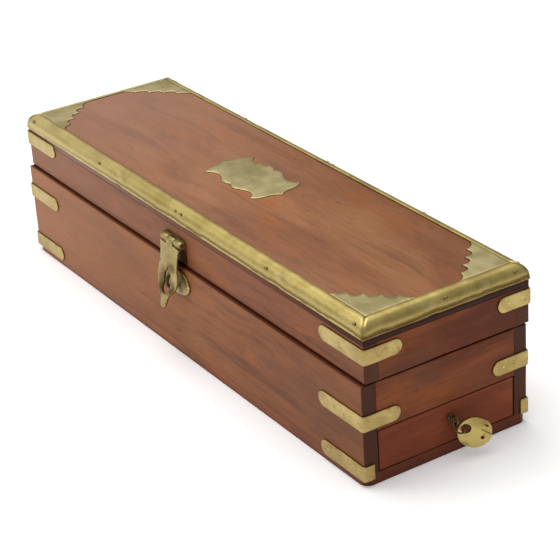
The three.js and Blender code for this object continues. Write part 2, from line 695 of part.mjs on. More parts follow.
// The staple's centre line: a half circle with two short legs, in an upright plane.
class StapleCurve extends THREE.Curve {
  constructor(start, radius, leg) {
    super();
    this.start = start;
    this.radius = radius;
    this.leg = leg;
  }

  getPoint(t, target = new THREE.Vector3()) {
    const arc = Math.PI * this.radius;
    const distance = t * (arc + 2 * this.leg);
    if (distance < this.leg) {
      return target.set(0, this.start - distance, STAPLE_Z - this.radius);
    }
    if (distance > this.leg + arc) {
      return target.set(0, this.start - (2 * this.leg + arc - distance), STAPLE_Z + this.radius);
    }
    const angle = (distance - this.leg) / this.radius;
    const y = this.start - this.leg - this.radius * Math.sin(angle);
    return target.set(0, y, STAPLE_Z - this.radius * Math.cos(angle));
  }
}

function addStaple() {
  const plate = new THREE.Shape();
  plate.absellipse(HASP_X + STAPLE_PLATE_SHIFT, STAPLE_Z, ...STAPLE_PLATE_HALF, 0, 2 * Math.PI);
  const plateFace = FRONT - STAPLE_PLATE;
  addMesh(group, "staple_plate", extrudeAlongY(plate, plateFace, FRONT, 16), BRASS);
  const leg = STAPLE_REACH - STAPLE_WIRE - STAPLE_RADIUS;
  const curve = new StapleCurve(plateFace - 0.02, STAPLE_RADIUS, leg);
  addMesh(group, "staple", wire(curve, STAPLE_WIRE, 20).translate(HASP_X, 0, 0), BRASS_DARK);
}

// ---- the drawer ---------------------------------------------------------------------------------

function addDrawer() {
  const halfWidth = INSIDE_Y - DRAWER_GAP;
  const base = BOTTOM_THICKNESS + 0.3;
  const top = DRAWER_CEILING - 0.4;
  const frontBack = DRAWER_FACE - DRAWER_FRONT;
  const inner = -INSIDE_X + 1;
  const sideTop = top - 1;
  const sideZ = [base, sideTop];
  const full = [-halfWidth, halfWidth];
  const innerY = halfWidth - DRAWER_WALL;
  addBlock("drawer_front", WOOD_END, [frontBack, DRAWER_FACE], full, [base, top]);
  addBlock("drawer_side_front", WOOD_INSIDE, [inner, frontBack], [-halfWidth, -innerY], sideZ);
  addBlock("drawer_side_back", WOOD_INSIDE, [inner, frontBack], [innerY, halfWidth], sideZ);
  addBlock("drawer_inner_end", WOOD_INSIDE, [inner, inner + DRAWER_WALL], [-innerY, innerY], sideZ);
  const floorX = [inner + DRAWER_WALL, frontBack];
  const floorTop = base + DRAWER_BASE;
  addBlock("drawer_bottom", WOOD_INSIDE, floorX, [-innerY, innerY], [base, floorTop]);
  addBlock("drawer_lining", VELVET, floorX, [-innerY, innerY], [floorTop, floorTop + LINING]);
}

// A screw eye in the drawer's front, a wire ring through it, and a pierced brass disc on the ring.
function addPull() {
  const [eyeX, eyeY, eyeZ] = PULL_EYE;
  const loop = new THREE.TorusGeometry(EYE_RADIUS, EYE_WIRE, 10, 24).rotateX(Math.PI / 2);
  const shank = cylinderAlongX(EYE_SHANK, DRAWER_FACE, eyeX - EYE_RADIUS + 0.3, 0, 0);
  const collarTop = DRAWER_FACE + EYE_COLLAR.height;
  const collar = cylinderAlongX(EYE_COLLAR.radius, DRAWER_FACE, collarTop, 0, 0);
  const eye = joined(loop.translate(eyeX, 0, 0), shank, collar).translate(0, eyeY, eyeZ);
  addMesh(group, "pull_screw_eye", eye, BRASS_DARK);

  const turn = THREE.MathUtils.degToRad(PULL_TURN);
  const facing = new THREE.Vector3(Math.cos(turn), -Math.sin(turn), 0);
  const sideways = new THREE.Vector3(Math.sin(turn), Math.cos(turn), 0);

  // The ring passes through the middles of the eye and of the disc's large hole.
  const eyeHole = new THREE.Vector3(...PULL_EYE);
  const discHole = new THREE.Vector3(...PULL_HOLE);
  const along = discHole.clone().sub(eyeHole).normalize();
  const level = along.clone().cross(facing).normalize();
  const tilt = THREE.MathUtils.degToRad(RING_TILT);
  const through = level.clone().cross(along).multiplyScalar(Math.cos(tilt));
  through.addScaledVector(level, Math.sin(tilt));
  const halfChord = eyeHole.distanceTo(discHole) / 2;
  const bulge = Math.sqrt(RING_RADIUS ** 2 - halfChord ** 2);
  const centre = eyeHole.clone().lerp(discHole, 0.5).addScaledVector(through, bulge);
  const normal = along.clone().cross(through);
  const ring = new THREE.TorusGeometry(RING_RADIUS, RING_WIRE, 10, 28);
  const axes = [along, through, normal].map((axis) => axis.toArray());
  addMesh(group, "pull_ring", place(ring, centre.toArray(), ...axes), BRASS_BRIGHT);

  const disc = new THREE.Shape();
  disc.absarc(...DISC_CENTRE, DISC_RADIUS, 0, 2 * Math.PI);
  const large = new THREE.Path();
  large.absarc(0, 0, DISC_HOLE_RADIUS, 0, 2 * Math.PI);
  const small = new THREE.Path();
  small.absarc(...DISC_SMALL_HOLE, DISC_SMALL_HOLE_RADIUS, 0, 2 * Math.PI);
  disc.holes.push(large, small);
  const body = extrude(disc, DISC_THICKNESS, 20).translate(0, 0, -DISC_THICKNESS / 2);
  const discPlaced = place(body, PULL_HOLE, sideways.toArray(), [0, 0, 1], facing.toArray());
  addMesh(group, "pull_disc", discPlaced, BRASS_BRIGHT);
}

addCase();
addCompartmentLining();
addPenRests();
addStraps();
addLidFrame();
addTopPanel();
addEdging();
addCornerPlates();
addCartouche();
addLidHinges();
addHasp();
addStaple();
addDrawer();
addPull();

export default group;
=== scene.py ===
"""Looks of a brass-bound hardwood pen box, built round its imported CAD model.

Everything is in metres in the part's frame: X along the box with the drawer's end at +X, -Y the front
with the hasp, +Z up. Sizes written as a number times MM are millimetres.
"""

import math
from itertools import product

import bmesh
import bpy
from mathutils import Matrix, Vector, noise
from mathutils.geometry import delaunay_2d_cdt


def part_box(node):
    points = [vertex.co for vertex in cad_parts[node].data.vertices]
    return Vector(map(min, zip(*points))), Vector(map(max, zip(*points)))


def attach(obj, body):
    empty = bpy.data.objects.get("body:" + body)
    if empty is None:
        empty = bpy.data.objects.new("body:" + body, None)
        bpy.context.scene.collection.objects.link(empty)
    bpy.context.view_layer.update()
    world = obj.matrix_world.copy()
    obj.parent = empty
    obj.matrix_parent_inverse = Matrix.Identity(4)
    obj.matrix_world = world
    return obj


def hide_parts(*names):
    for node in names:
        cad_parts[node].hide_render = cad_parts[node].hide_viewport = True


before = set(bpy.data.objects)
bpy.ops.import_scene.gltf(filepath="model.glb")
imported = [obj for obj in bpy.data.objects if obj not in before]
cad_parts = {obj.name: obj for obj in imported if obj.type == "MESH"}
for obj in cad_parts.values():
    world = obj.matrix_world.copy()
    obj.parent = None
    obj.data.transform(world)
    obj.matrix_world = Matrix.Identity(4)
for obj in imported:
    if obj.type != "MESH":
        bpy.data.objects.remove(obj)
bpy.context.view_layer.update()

MM = 0.001
SIDES = (("left", -1), ("right", 1))
FACES = (("front", -1), ("back", 1))
UP = Vector((0, 0, 1))

# ---- camera, light and floor ----

CAMERA_PLACE = Vector((703.2, -419.9, 436.8)) * MM
CAMERA_AZIMUTH = 58.34
CAMERA_ELEVATION = 26.75
CAMERA_ROLL = -3.757
CAMERA_LENS = 122.13
CAMERA_SENSOR = 36
CAMERA_NEAR = 0.01
CEILING_LIGHT = 0.52
WALL_LIGHT = 0.14
WALLS_END = -0.05  # the world's light changes between these two heights, -1 to 1
CEILING_STARTS = 0.75
LIGHTS = (
    # name, place, size, power
    ("ceiling_light", (-0.3, -0.1, 1.6), 1.6, 23),
    ("window_light", (-1.0, -1.2, 0.9), 0.9, 5),
)
LIGHTS_TARGET = (0, 0, 0.03)
FLOOR_HALF = 6
FLOOR_GAP = 0.2 * MM  # keeps the floor clear of the box's underside
FLOOR_GLOW = 0.15  # keeps the floor pale in the box's soft shadow


def add_camera():
    """The camera looks along its azimuth and elevation, and is rolled a little about its view."""
    data = bpy.data.cameras.new("camera")
    data.lens = CAMERA_LENS
    data.sensor_width = CAMERA_SENSOR
    data.clip_start = CAMERA_NEAR
    camera = bpy.data.objects.new("camera", data)
    turn = Matrix.Rotation(math.radians(CAMERA_AZIMUTH), 4, "Z")
    tilt = Matrix.Rotation(math.radians(90 - CAMERA_ELEVATION), 4, "X")
    roll = Matrix.Rotation(math.radians(CAMERA_ROLL), 4, "Z")
    camera.matrix_world = Matrix.Translation(CAMERA_PLACE) @ turn @ tilt @ roll
    bpy.context.scene.collection.objects.link(camera)
    bpy.context.scene.camera = camera


def add_area_light(name, place, size, power):
    data = bpy.data.lights.new(name, "AREA")
    data.size = size
    data.energy = power
    light = bpy.data.objects.new(name, data)
    light.location = place
    light.rotation_euler = (Vector(place) - Vector(LIGHTS_TARGET)).to_track_quat("Z", "Y").to_euler()
    bpy.context.scene.collection.objects.link(light)


def add_world():
    """A studio that is bright overhead and dimmer towards the walls."""
    graph = Graph(bpy.data.worlds.new("studio"), "Background")
    up = graph.add("SeparateXYZ", {0: graph.add("TexCoord").outputs["Generated"]}).outputs["Z"]
    heights = {"Value": up, "From Min": WALLS_END, "From Max": CEILING_STARTS}
    strengths = {"To Min": WALL_LIGHT, "To Max": CEILING_LIGHT}
    light = graph.add("MapRange", {**heights, **strengths}, interpolation_type="SMOOTHSTEP")
    world = graph.shade({"Color": (1, 1, 1, 1), "Strength": light.outputs["Result"]})
    bpy.context.scene.world = world


def add_floor():
    mesh = bpy.data.meshes.new("floor")
    corners = [(x * FLOOR_HALF, y * FLOOR_HALF, 0) for x, y in ((-1, -1), (1, -1), (1, 1), (-1, 1))]
    mesh.from_pydata(corners, [], [(0, 1, 2, 3)])
    floor = bpy.data.objects.new("floor", mesh)
    floor.location.z = -FLOOR_GAP
    bpy.context.scene.collection.objects.link(floor)
    matt = {"Base Color": (0.95, 0.95, 0.95, 1), "Roughness": 1, "Specular IOR Level": 0}
    glow = {"Emission Color": (1, 1, 1, 1), "Emission Strength": FLOOR_GLOW}
    floor.data.materials.append(Graph(bpy.data.materials.new("floor")).shade({**matt, **glow}))


def add_studio():
    bpy.context.scene.view_settings.view_transform = "Standard"
    add_world()
    for name, place, size, power in LIGHTS:
        add_area_light(name, place, size, power)
    add_floor()


# ---- materials ----


class Graph:
    """The node tree of a material or a world, with short calls that add a node and fill its
    inputs."""

    def __init__(self, owner, shader="Principled BSDF"):
        owner.use_nodes = True
        self.owner = owner
        self.tree = owner.node_tree
        self.shader = self.tree.nodes[shader]

    def fill(self, socket, value):
        if isinstance(value, bpy.types.NodeSocket):
            self.tree.links.new(value, socket)
        else:
            socket.default_value = value

    def add(self, kind, inputs=None, **settings):
        made = self.tree.nodes.new("ShaderNode" + kind)
        for key, value in settings.items():
            setattr(made, key, value)
        for key, value in (inputs or {}).items():
            self.fill(made.inputs[key], value)
        return made

    def math(self, operation, first, second=0.0):
        made = self.add("Math", {0: first, 1: second}, operation=operation)
        return made.outputs[0]

    def vector(self, operation, first, second):
        made = self.add("VectorMath", {0: first, 1: second}, operation=operation)
        return made.outputs["Vector"]

    def millimetres(self, place, seed):
        """The place in millimetres, moved so that each seed has its own pattern."""
        scaled = self.vector("MULTIPLY", place, (1 / MM, 1 / MM, 1 / MM))
        return self.vector("ADD", scaled, (seed * 370.0, seed * 110.0, seed * 50.0))

    def noise(self, place, scales, detail=3.0, roughness=0.5, distortion=0.0, shift=0.0):
        """Noise whose cells are 1 / scales long along each axis, from 0 to 1."""
        stretched = self.vector("MULTIPLY", place, scales)
        if shift:
            stretched = self.vector("ADD", stretched, (shift, shift, shift))
        inputs = {
            "Vector": stretched,
            "Scale": 1.0,
            "Detail": detail,
            "Roughness": roughness,
            "Distortion": distortion,
        }
        return self.add("TexNoise", inputs).outputs["Fac"]

    def ramp(self, value, low, high):
        """0 below low, 1 above high, smooth between."""
        inputs = {"Value": value, "From Min": low, "From Max": high}
        made = self.add("MapRange", inputs, interpolation_type="SMOOTHSTEP")
        return made.outputs["Result"]

    def patches(self, place, table):
        """Masks by name, each 1 inside soft-edged patches of noise. A row holds the cells per
        millimetre along each axis, the detail, roughness, distortion and shift of the noise, and
        its values where a patch begins and where it is full."""
        masks = {}
        for name, (scales, detail, roughness, distortion, shift, begins, full) in table.items():
            cells = self.noise(place, scales, detail, roughness, distortion, shift)
            masks[name] = self.ramp(cells, begins, full)
        return masks

    def mix(self, amount, first, second):
        made = self.add("Mix", {"Factor": amount}, data_type="RGBA")
        self.fill(made.inputs["A"], first)
        self.fill(made.inputs["B"], second)
        return made.outputs["Result"]

    def lay(self, colour, mask, strength, tint):
        """The colour with a tint over it where the mask is 1, at a strength from 0 to 1."""
        return self.mix(self.math("MULTIPLY", mask, strength), colour, tint)

    def closeness(self, reach, inside=False):
        """Near 1 in corners between pieces, or on outside edges where inside is true."""
        made = self.add("AmbientOcclusion", {"Distance": reach}, samples=8, inside=inside)
        return self.math("SUBTRACT", 1.0, made.outputs["AO"])

    def bump(self, height, distance, strength=1.0, normal=None):
        inputs = {"Height": height, "Distance": distance, "Strength": strength}
        if normal is not None:
            inputs["Normal"] = normal
        return self.add("Bump", inputs).outputs["Normal"]

    def shade(self, inputs):
        for name, value in inputs.items():
            self.fill(self.shader.inputs[name], value)
        return self.owner


def rgb(red, green, blue):
    """A colour given as it looks on screen, from 0 to 255, as the linear colour of a node."""
    shares = [c / 255 for c in (red, green, blue)]
    linear = [c / 12.92 if c <= 0.04 else ((c + 0.055) / 1.055) ** 2.4 for c in shares]
    return (*linear, 1.0)


WOOD_PATCHES = {
    "broad": ((0.009, 0.03, 0.03), 3.0, 0.55, 0.5, 0, 0.34, 0.66),
    "warm": ((0.02, 0.055, 0.055), 3.0, 0.6, 0.8, 50, 0.44, 0.72),
    "smoky": ((0.011, 0.06, 0.06), 4.0, 0.6, 0.6, 90, 0.5, 0.75),
    "band": ((0.006, 0.19, 0.19), 4.0, 0.6, 0.4, 0, 0.5, 0.78),
    "pore": ((0.13, 4.2, 4.2), 2.0, 0.5, 0.0, 0, 0.62, 0.74),
    "figure": ((0.022, 0.05, 0.05), 3.0, 0.6, 0.6, 170, 0.46, 0.72),
    "fleck": ((0.09, 0.5, 0.5), 3.0, 0.6, 0.0, 130, 0.63, 0.72),
}
GRAIN_WANDER = 22.0  # how far the grain strays sideways, in millimetres
PAINTED_WASH_SPAN = (40 * MM, -150 * MM)  # painted light: the wood is painted paler more and more between these, along X
SIDE_SHADE_SPAN = (50 * MM, 140 * MM)  # painted shade: the top board's side darkens between these, along X


def face_grain(graph, place, fibre, pale, middle, dark):
    """The colour of a face along the grain, and the mask of its pores."""
    masks = graph.patches(place, WOOD_PATCHES)
    masks["grain"] = graph.ramp(fibre, 0.4, 0.75)
    colour = graph.mix(masks["broad"], middle, pale)
    layers = (
        ("warm", 0.4, rgb(166, 94, 46)),
        ("smoky", 0.5, rgb(92, 62, 46)),
        ("band", 0.45, dark),
        ("grain", 0.26, dark),
        ("pore", 0.3, rgb(38, 16, 10)),
        ("figure", 0.18, dark),
        ("fleck", 0.35, dark),
    )
    for name, strength, tint in layers:
        colour = graph.lay(colour, masks[name], strength, tint)
    return colour, masks["pore"]


def wood(
    name, pale, middle, dark, along="X", seed=0.0, polish=0.36, end_grain=(62, 30, 20), side=None,
    rim=0.0, painted_wash=None, grime_and_shade=1.0,
):
    """Oiled hardwood with its grain along one axis of the box. Faces across the grain take the
    end grain's colour, upright faces take side where it is given, a painted shade under the edging,
    rim is how dark the painted shade on the upward faces under the lid's edge is, painted_wash is
    the paler colour painted on towards the left end as painted light, and grime_and_shade is how
    dark the dirt and painted shade in the corners between pieces are."""
    graph = Graph(bpy.data.materials.new(name))
    source = graph.add("TexCoord")
    split = graph.add("SeparateXYZ", {0: source.outputs["Object"]})
    order = {"X": "XYZ", "Y": "YXZ"}[along]
    turned = graph.add("CombineXYZ", {i: split.outputs[letter] for i, letter in enumerate(order)})
    straight = graph.millimetres(turned.outputs[0], seed)
    wander = graph.math("SUBTRACT", graph.noise(straight, (0.009, 0.02, 0.02), 2.0, shift=210), 0.5)
    wander = graph.math("MULTIPLY", wander, GRAIN_WANDER)
    sideways = graph.add("CombineXYZ", {"Y": wander, "Z": wander})
    place = graph.vector("ADD", straight, sideways.outputs[0])
    fibre = graph.noise(place, (0.03, 1.5, 1.5), 4.0, 0.6)
    colour, pore = face_grain(graph, place, fibre, pale, middle, dark)

    facing = graph.add("SeparateXYZ", {0: source.outputs["Normal"]})
    # painted shade: upright faces take the side colour, turning to the end grain's dark colour towards the
    # right end
    if side is not None:
        upright = graph.ramp(graph.math("ABSOLUTE", facing.outputs["Z"]), 0.75, 0.35)
        side_shade = graph.ramp(split.outputs["X"], *SIDE_SHADE_SPAN)
        shown = graph.mix(side_shade, side, rgb(*end_grain))
        colour = graph.mix(upright, colour, graph.mix(fibre, shown, dark))
    if painted_wash is not None:
        # painted light: paler towards the left end
        wash_mask = graph.ramp(split.outputs["X"], *PAINTED_WASH_SPAN)
        colour = graph.lay(colour, wash_mask, 0.5, painted_wash)
    end = graph.ramp(graph.math("ABSOLUTE", facing.outputs[along]), 0.25, 0.7)
    across = graph.mix(fibre, rgb(*end_grain), rgb(*[0.75 * c for c in end_grain]))
    colour = graph.lay(colour, end, 0.9, across)
    # painted shade: upward faces, such as the case's ledge under the lid, are darkened
    if rim:
        upward = graph.ramp(facing.outputs["Z"], 0.45, 0.8)
        colour = graph.lay(colour, upward, rim, rgb(46, 16, 9))

    wear = graph.ramp(graph.closeness(1.2 * MM, True), 0.35, 0.75)
    rubbed = graph.noise(place, (0.06, 0.25, 0.25), 3.0)
    wear = graph.math("MULTIPLY", wear, graph.ramp(rubbed, 0.45, 0.75))
    colour = graph.lay(colour, wear, 0.3, pale)
    # painted shadow: reddish darkening up to 9 mm from nearby pieces, such as the hasp's shadow on the lid
    glow = graph.ramp(graph.closeness(9.0 * MM), 0.15, 0.6)
    colour = graph.lay(colour, glow, 0.55 * grime_and_shade, rgb(92, 30, 12))
    # dirt and painted shade: darker within 3 mm of nearby pieces
    dirt_and_shade = graph.ramp(graph.closeness(3.0 * MM), 0.12, 0.55)
    colour = graph.lay(colour, dirt_and_shade, 0.85 * grime_and_shade, rgb(58, 21, 11))

    gloss = graph.math("ADD", polish, graph.math("MULTIPLY", fibre, 0.16))
    gloss = graph.math("ADD", gloss, graph.math("MULTIPLY", dirt_and_shade, 0.25))
    depth = graph.math("MULTIPLY", pore, 0.8)
    height = graph.math("SUBTRACT", graph.math("MULTIPLY", fibre, 0.5), depth)
    swell = graph.noise(place, (0.01, 0.05, 0.05), 2.0)
    normal = graph.bump(swell, 0.25 * MM, 0.5)
    normal = graph.bump(height, 0.03 * MM, 0.6, normal)
    finish = {"Coat Weight": 0.03, "Coat Roughness": 0.2, "Specular IOR Level": 0.1}
    return graph.shade({"Base Color": colour, "Roughness": gloss, "Normal": normal, **finish})


BRASS_PATCHES = {
    "cloud": ((0.07, 0.07, 0.07), 4.0, 0.6, 0.0, 0, 0.34, 0.68),
    "blotch": ((0.3, 0.3, 0.3), 4.0, 0.65, 0.4, 0, 0.56, 0.74),
    "speck": ((1.7, 1.7, 1.7), 2.0, 0.6, 0.0, 0, 0.66, 0.76),
    "scratch": ((0.25, 3.4, 1.2), 2.0, 0.6, 0.6, 0, 0.62, 0.7),
    "scrape": ((3.1, 0.3, 2.2), 2.0, 0.6, 0.5, 0, 0.63, 0.7),
}


def edging_light_and_shade(graph, source, cloud, colour, stain):
    """The edging's painted light and shade: painted shade in the hollow just above its lip, painted
    light that makes it paler towards the left end, and brown painted shade on the side that faces right."""
    split = graph.add("SeparateXYZ", {0: source.outputs["Object"]})
    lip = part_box("lid_trim_front")[0].z
    wander = graph.math("MULTIPLY", graph.math("SUBTRACT", cloud, 0.5), 0.7 * MM)
    height = graph.math("ADD", split.outputs["Z"], wander)
    # painted shade: a dark band in the hollow just above the lip
    over_lip = graph.ramp(height, lip + 0.5 * MM, lip + 1.1 * MM)
    under_round = graph.ramp(height, lip + 3.0 * MM, lip + 1.4 * MM)
    colour = graph.lay(colour, graph.math("MULTIPLY", over_lip, under_round), 0.9, stain)
    # painted light: the edging paler towards the left end
    wash_mask = graph.ramp(split.outputs["X"], 0, PAINTED_WASH_SPAN[1])
    colour = graph.lay(colour, wash_mask, 0.45, rgb(224, 206, 146))
    # painted shade: brown on the side that faces right
    facing = graph.add("SeparateXYZ", {0: source.outputs["Normal"]}).outputs["X"]
    right_side_shade = graph.math("MULTIPLY", graph.ramp(facing, 0.2, 0.7), under_round)
    return graph.lay(colour, right_side_shade, 0.6, rgb(86, 58, 28))


def brass(
    name, bright, dull, stain, roughness=0.4, tarnish=0.3, seed=0.0, edging=False, patina_and_shade=(),
    patina_and_shade_strength=0.9, rim=rgb(240, 222, 150), grime_and_shade=0.75,
):
    """Old brass: cloudy, stained and finely scratched, dark with dirt and painted shade where it
    meets the wood. patina_and_shade lists brown spots as their middle and their reach along each
    axis: patina on the hasp and the disc, painted shade on the hasp's leaf. rim is the colour of the
    outside edges: rubbed brass and painted highlight where it is bright, a painted shadow line
    where it is dark. grime_and_shade is how dark the dirt and painted shade are."""
    graph = Graph(bpy.data.materials.new(name))
    source = graph.add("TexCoord")
    place = graph.millimetres(source.outputs["Object"], seed)
    masks = graph.patches(place, BRASS_PATCHES)
    cloud = masks["cloud"]
    blotch = masks["blotch"]
    speck = masks["speck"]
    marks = graph.math("MAXIMUM", masks["scratch"], masks["scrape"])

    colour = graph.mix(cloud, bright, dull)
    colour = graph.lay(colour, blotch, tarnish, stain)
    colour = graph.lay(colour, speck, 0.45 * tarnish + 0.15, rgb(70, 52, 26))
    if edging:
        colour = edging_light_and_shade(graph, source, cloud, colour, stain)
    # brown spots: patina, and painted shade on the hasp's leaf
    for middle, reach in patina_and_shade:
        away = graph.vector("SUBTRACT", source.outputs["Object"], tuple(middle))
        away = graph.vector("MULTIPLY", away, tuple(1 / r for r in reach))
        distance = graph.add("VectorMath", {0: away}, operation="LENGTH").outputs["Value"]
        ragged = graph.math("SUBTRACT", distance, graph.math("MULTIPLY", cloud, 0.4))
        colour = graph.lay(colour, graph.ramp(ragged, 1.1, 0.1), patina_and_shade_strength, rgb(94, 68, 14))
    colour = graph.lay(colour, marks, 0.22, rgb(236, 220, 160))
    # outside edges take the rim colour: rubbed brass with a painted highlight where it is bright, a painted
    # shadow line where it is dark
    edge = graph.ramp(graph.closeness(0.5 * MM, True), 0.4, 0.8)
    colour = graph.lay(colour, edge, 0.45, rim)
    # dirt and painted shade: darker where the brass meets other pieces
    dirt_and_shade = graph.ramp(graph.closeness(1.1 * MM), 0.3, 0.8)
    colour = graph.lay(colour, dirt_and_shade, grime_and_shade, rgb(44, 28, 12))

    rough = graph.math("ADD", roughness, graph.math("MULTIPLY", blotch, 0.12))
    rough = graph.math("ADD", rough, graph.math("MULTIPLY", dirt_and_shade, 0.2))
    rough = graph.math("SUBTRACT", rough, graph.math("MULTIPLY", cloud, 0.06))
    hammer = graph.noise(place, (0.12, 0.12, 0.12), 2.0)
    normal = graph.bump(hammer, 0.2 * MM, 0.35)
    fine = graph.math("SUBTRACT", speck, marks)
    normal = graph.bump(fine, 0.02 * MM, 0.5, normal)
    return graph.shade({"Base Color": colour, "Roughness": rough, "Metallic": 1.0, "Normal": normal})


def velvet(name, pile, shade):
    """Short-pile velvet, brushed in soft patches."""
    graph = Graph(bpy.data.materials.new(name))
    source = graph.add("TexCoord")
    place = graph.millimetres(source.outputs["Object"], 0.0)
    brushed = graph.ramp(graph.noise(place, (0.03, 0.05, 0.05), 3.0, 0.55, 0.8), 0.35, 0.68)
    tuft = graph.noise(place, (3.2, 3.2, 3.2), 2.0, 0.7)
    worn = graph.mix(0.5, shade, pile)
    colour = graph.mix(brushed, worn, pile)
    colour = graph.lay(colour, tuft, 0.5, shade)
    normal = graph.bump(tuft, 0.3 * MM, 0.6)
    sheen = {"Sheen Weight": 0.7, "Sheen Roughness": 0.35, "Sheen Tint": (0.75, 0.32, 0.34, 1.0)}
    finish = {"Roughness": 0.95, "Specular IOR Level": 0.2}
    return graph.shade({"Base Color": colour, "Normal": normal, **finish, **sheen})


WOOD_FRONT = wood(
    "wood_front", rgb(150, 94, 54), rgb(130, 78, 44), rgb(68, 34, 20), seed=1.0,
    end_grain=(74, 38, 24), rim=0.6, painted_wash=rgb(176, 122, 84),
)
WOOD_BASE = wood(
    "wood_base", rgb(148, 88, 52), rgb(130, 74, 42), rgb(68, 34, 20), seed=1.7,
    end_grain=(108, 52, 32), painted_wash=rgb(176, 122, 84), grime_and_shade=0.4,
)
WOOD_LID = wood(
    "wood_lid", rgb(138, 84, 52), rgb(118, 68, 42), rgb(60, 32, 20), seed=2.3,
    end_grain=(92, 50, 32), painted_wash=rgb(166, 118, 88),
)
# painted shade: the top's side under the edging is dark, and darker towards the right end
WOOD_TOP = wood(
    "wood_top", rgb(157, 107, 73), rgb(139, 91, 63), rgb(86, 54, 38), seed=4.6,
    end_grain=(58, 26, 18), side=rgb(126, 72, 50), painted_wash=rgb(158, 124, 108),
)
WOOD_END = wood("wood_end", rgb(130, 68, 36), rgb(106, 52, 28), rgb(52, 24, 14), "Y", seed=3.1, rim=0.8)
WOOD_DRAWER = wood("wood_drawer", rgb(142, 68, 36), rgb(126, 58, 32), rgb(66, 26, 14), "Y", seed=5.2)
WOOD_INSIDE = wood(
    "wood_inside", rgb(150, 104, 70), rgb(128, 82, 54), rgb(80, 46, 30), seed=6.4, polish=0.6
)
BRASS_AGED = brass(
    "brass_aged", rgb(190, 168, 108), rgb(158, 134, 80), rgb(104, 80, 42), tarnish=0.6, seed=1.0
)
# painted shadow: the plates' dark rim colour is a shadow line painted round their edges
BRASS_PLATE = brass(
    "brass_plate", rgb(216, 200, 148), rgb(192, 176, 120), rgb(146, 126, 78), roughness=0.42,
    seed=4.0, rim=rgb(84, 66, 34),
)
# painted highlight: the edging's bright rim colour brightens its lip and edges
BRASS_TRIM = brass(
    "brass_trim", rgb(194, 174, 108), rgb(170, 149, 86), rgb(104, 84, 34), roughness=0.46, seed=2.0,
    edging=True, rim=rgb(214, 194, 140),
)
BRASS_PIN = brass(
    "brass_pin", rgb(160, 138, 84), rgb(136, 114, 66), rgb(80, 58, 28), roughness=0.45, tarnish=0.7,
    seed=7.0, grime_and_shade=0.4,
)
BRASS_DARK = brass(
    "brass_dark", rgb(104, 88, 54), rgb(70, 56, 32), rgb(34, 24, 14), roughness=0.42, tarnish=0.7,
    seed=3.0,
)
VELVET = velvet("velvet_red", rgb(104, 24, 32), rgb(52, 10, 16))


def hasp_brass(name, seed, patina_and_shade):
    """The hasp's greener brass, with brown spots: patina on the hasp where hands and the staple
    have rubbed it, painted shade along the foot of its leaf.
    """
    tones = (rgb(180, 164, 110), rgb(146, 128, 76), rgb(86, 62, 24))
    return brass(name, *tones, roughness=0.42, tarnish=0.8, seed=seed, patina_and_shade=patina_and_shade)


def centre_of(node):
    low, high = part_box(node)
    return (low + high) / 2


def spots(middle, *rows):
    """Brown spots, from rows of their place off a middle and their reach, in millimetres: patina
    on the hasp and the disc, painted shade along the hasp's leaf.
    """
    return [(middle + Vector(offset) * MM, Vector(reach) * MM) for offset, reach in rows]


ROUND_SLOT = spots(
    centre_of("hasp_plate"),
    ((-4.2, 0, -6.0), (5.6, 12, 7.0)),
    ((5.0, 0, -7.0), (3.0, 12, 4.0)),
    ((3.0, 0, 3.0), (3.6, 12, 2.4)),
)
LEAF_FOOT = centre_of("hasp_leaf")
LEAF_FOOT.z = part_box("hasp_leaf")[0].z
ON_DISC = spots(
    centre_of("pull_disc"),
    ((0, 1.5, 5.6), (6, 6, 3.4)),
    ((-2.5, -4.5, -5.4), (4, 4, 2.2)),
)
BRASS_HASP = hasp_brass("brass_hasp", 5.0, ROUND_SLOT)
# painted shade: the leaf's lower part, hanging in the hasp plate's shadow, is darkened as a wide brown spot
BRASS_LEAF = hasp_brass("brass_hasp_leaf", 5.5, spots(LEAF_FOOT, ((0, 0, 0), (60, 20, 8))))
BRASS_DISC = brass(
    "brass_disc", rgb(202, 182, 112), rgb(176, 154, 86), rgb(108, 82, 32), tarnish=0.8, seed=6.0,
    patina_and_shade=ON_DISC, patina_and_shade_strength=0.5,
)

# ---- mesh helpers ----

WELD = 0.005 * MM
END_SHARES = (0, 0.3, 0.65, 1, 1.8)  # places near a board's end, as shares of its edge radius
CURVE_STEPS = 9


def add_piece(name, vertices, faces, material, body, slot, nodes=(), smooth=True):
    """Makes one piece from vertices in metres. It rides on a body and may replace CAD nodes."""
    mesh = bpy.data.meshes.new(name)
    mesh.from_pydata([tuple(v) for v in vertices], [], faces)
    mesh.validate()
    mesh.update()
    mesh.polygons.foreach_set("use_smooth", [smooth] * len(mesh.polygons))
    mesh.materials.append(material)
    piece = bpy.data.objects.new(name, mesh)
    bpy.context.scene.collection.objects.link(piece)
    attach(piece, body)
    if nodes:
        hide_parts(*nodes)
    return piece


def corner_of(low, high, sx, sy):
    return (high.x if sx > 0 else low.x), (high.y if sy > 0 else low.y)


def unsteady(place, size, seed=0.0):
    """Smooth noise from -1 to 1 whose cells are "size" across."""
    return noise.noise(Vector(place) / size + Vector((seed, 2 * seed, 3 * seed)))


def finish(name, material):
    """Gives a CAD node a finish, smooth shading and welded vertices."""
    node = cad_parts[name]
    node.data.materials.clear()
    node.data.materials.append(material)
    node.data.polygons.foreach_set("use_smooth", [True] * len(node.data.polygons))
    weld = node.modifiers.new("weld", "WELD")
    weld.merge_threshold = WELD
    return node


def finish_node(name, material, width, segments=3):
    """Keeps a CAD node, with a finish and softened edges."""
    bevel = finish(name, material).modifiers.new("soft_edges", "BEVEL")
    bevel.width = width
    bevel.segments = segments
    bevel.limit_method = "ANGLE"
    bevel.angle_limit = math.radians(35)
    bevel.harden_normals = True


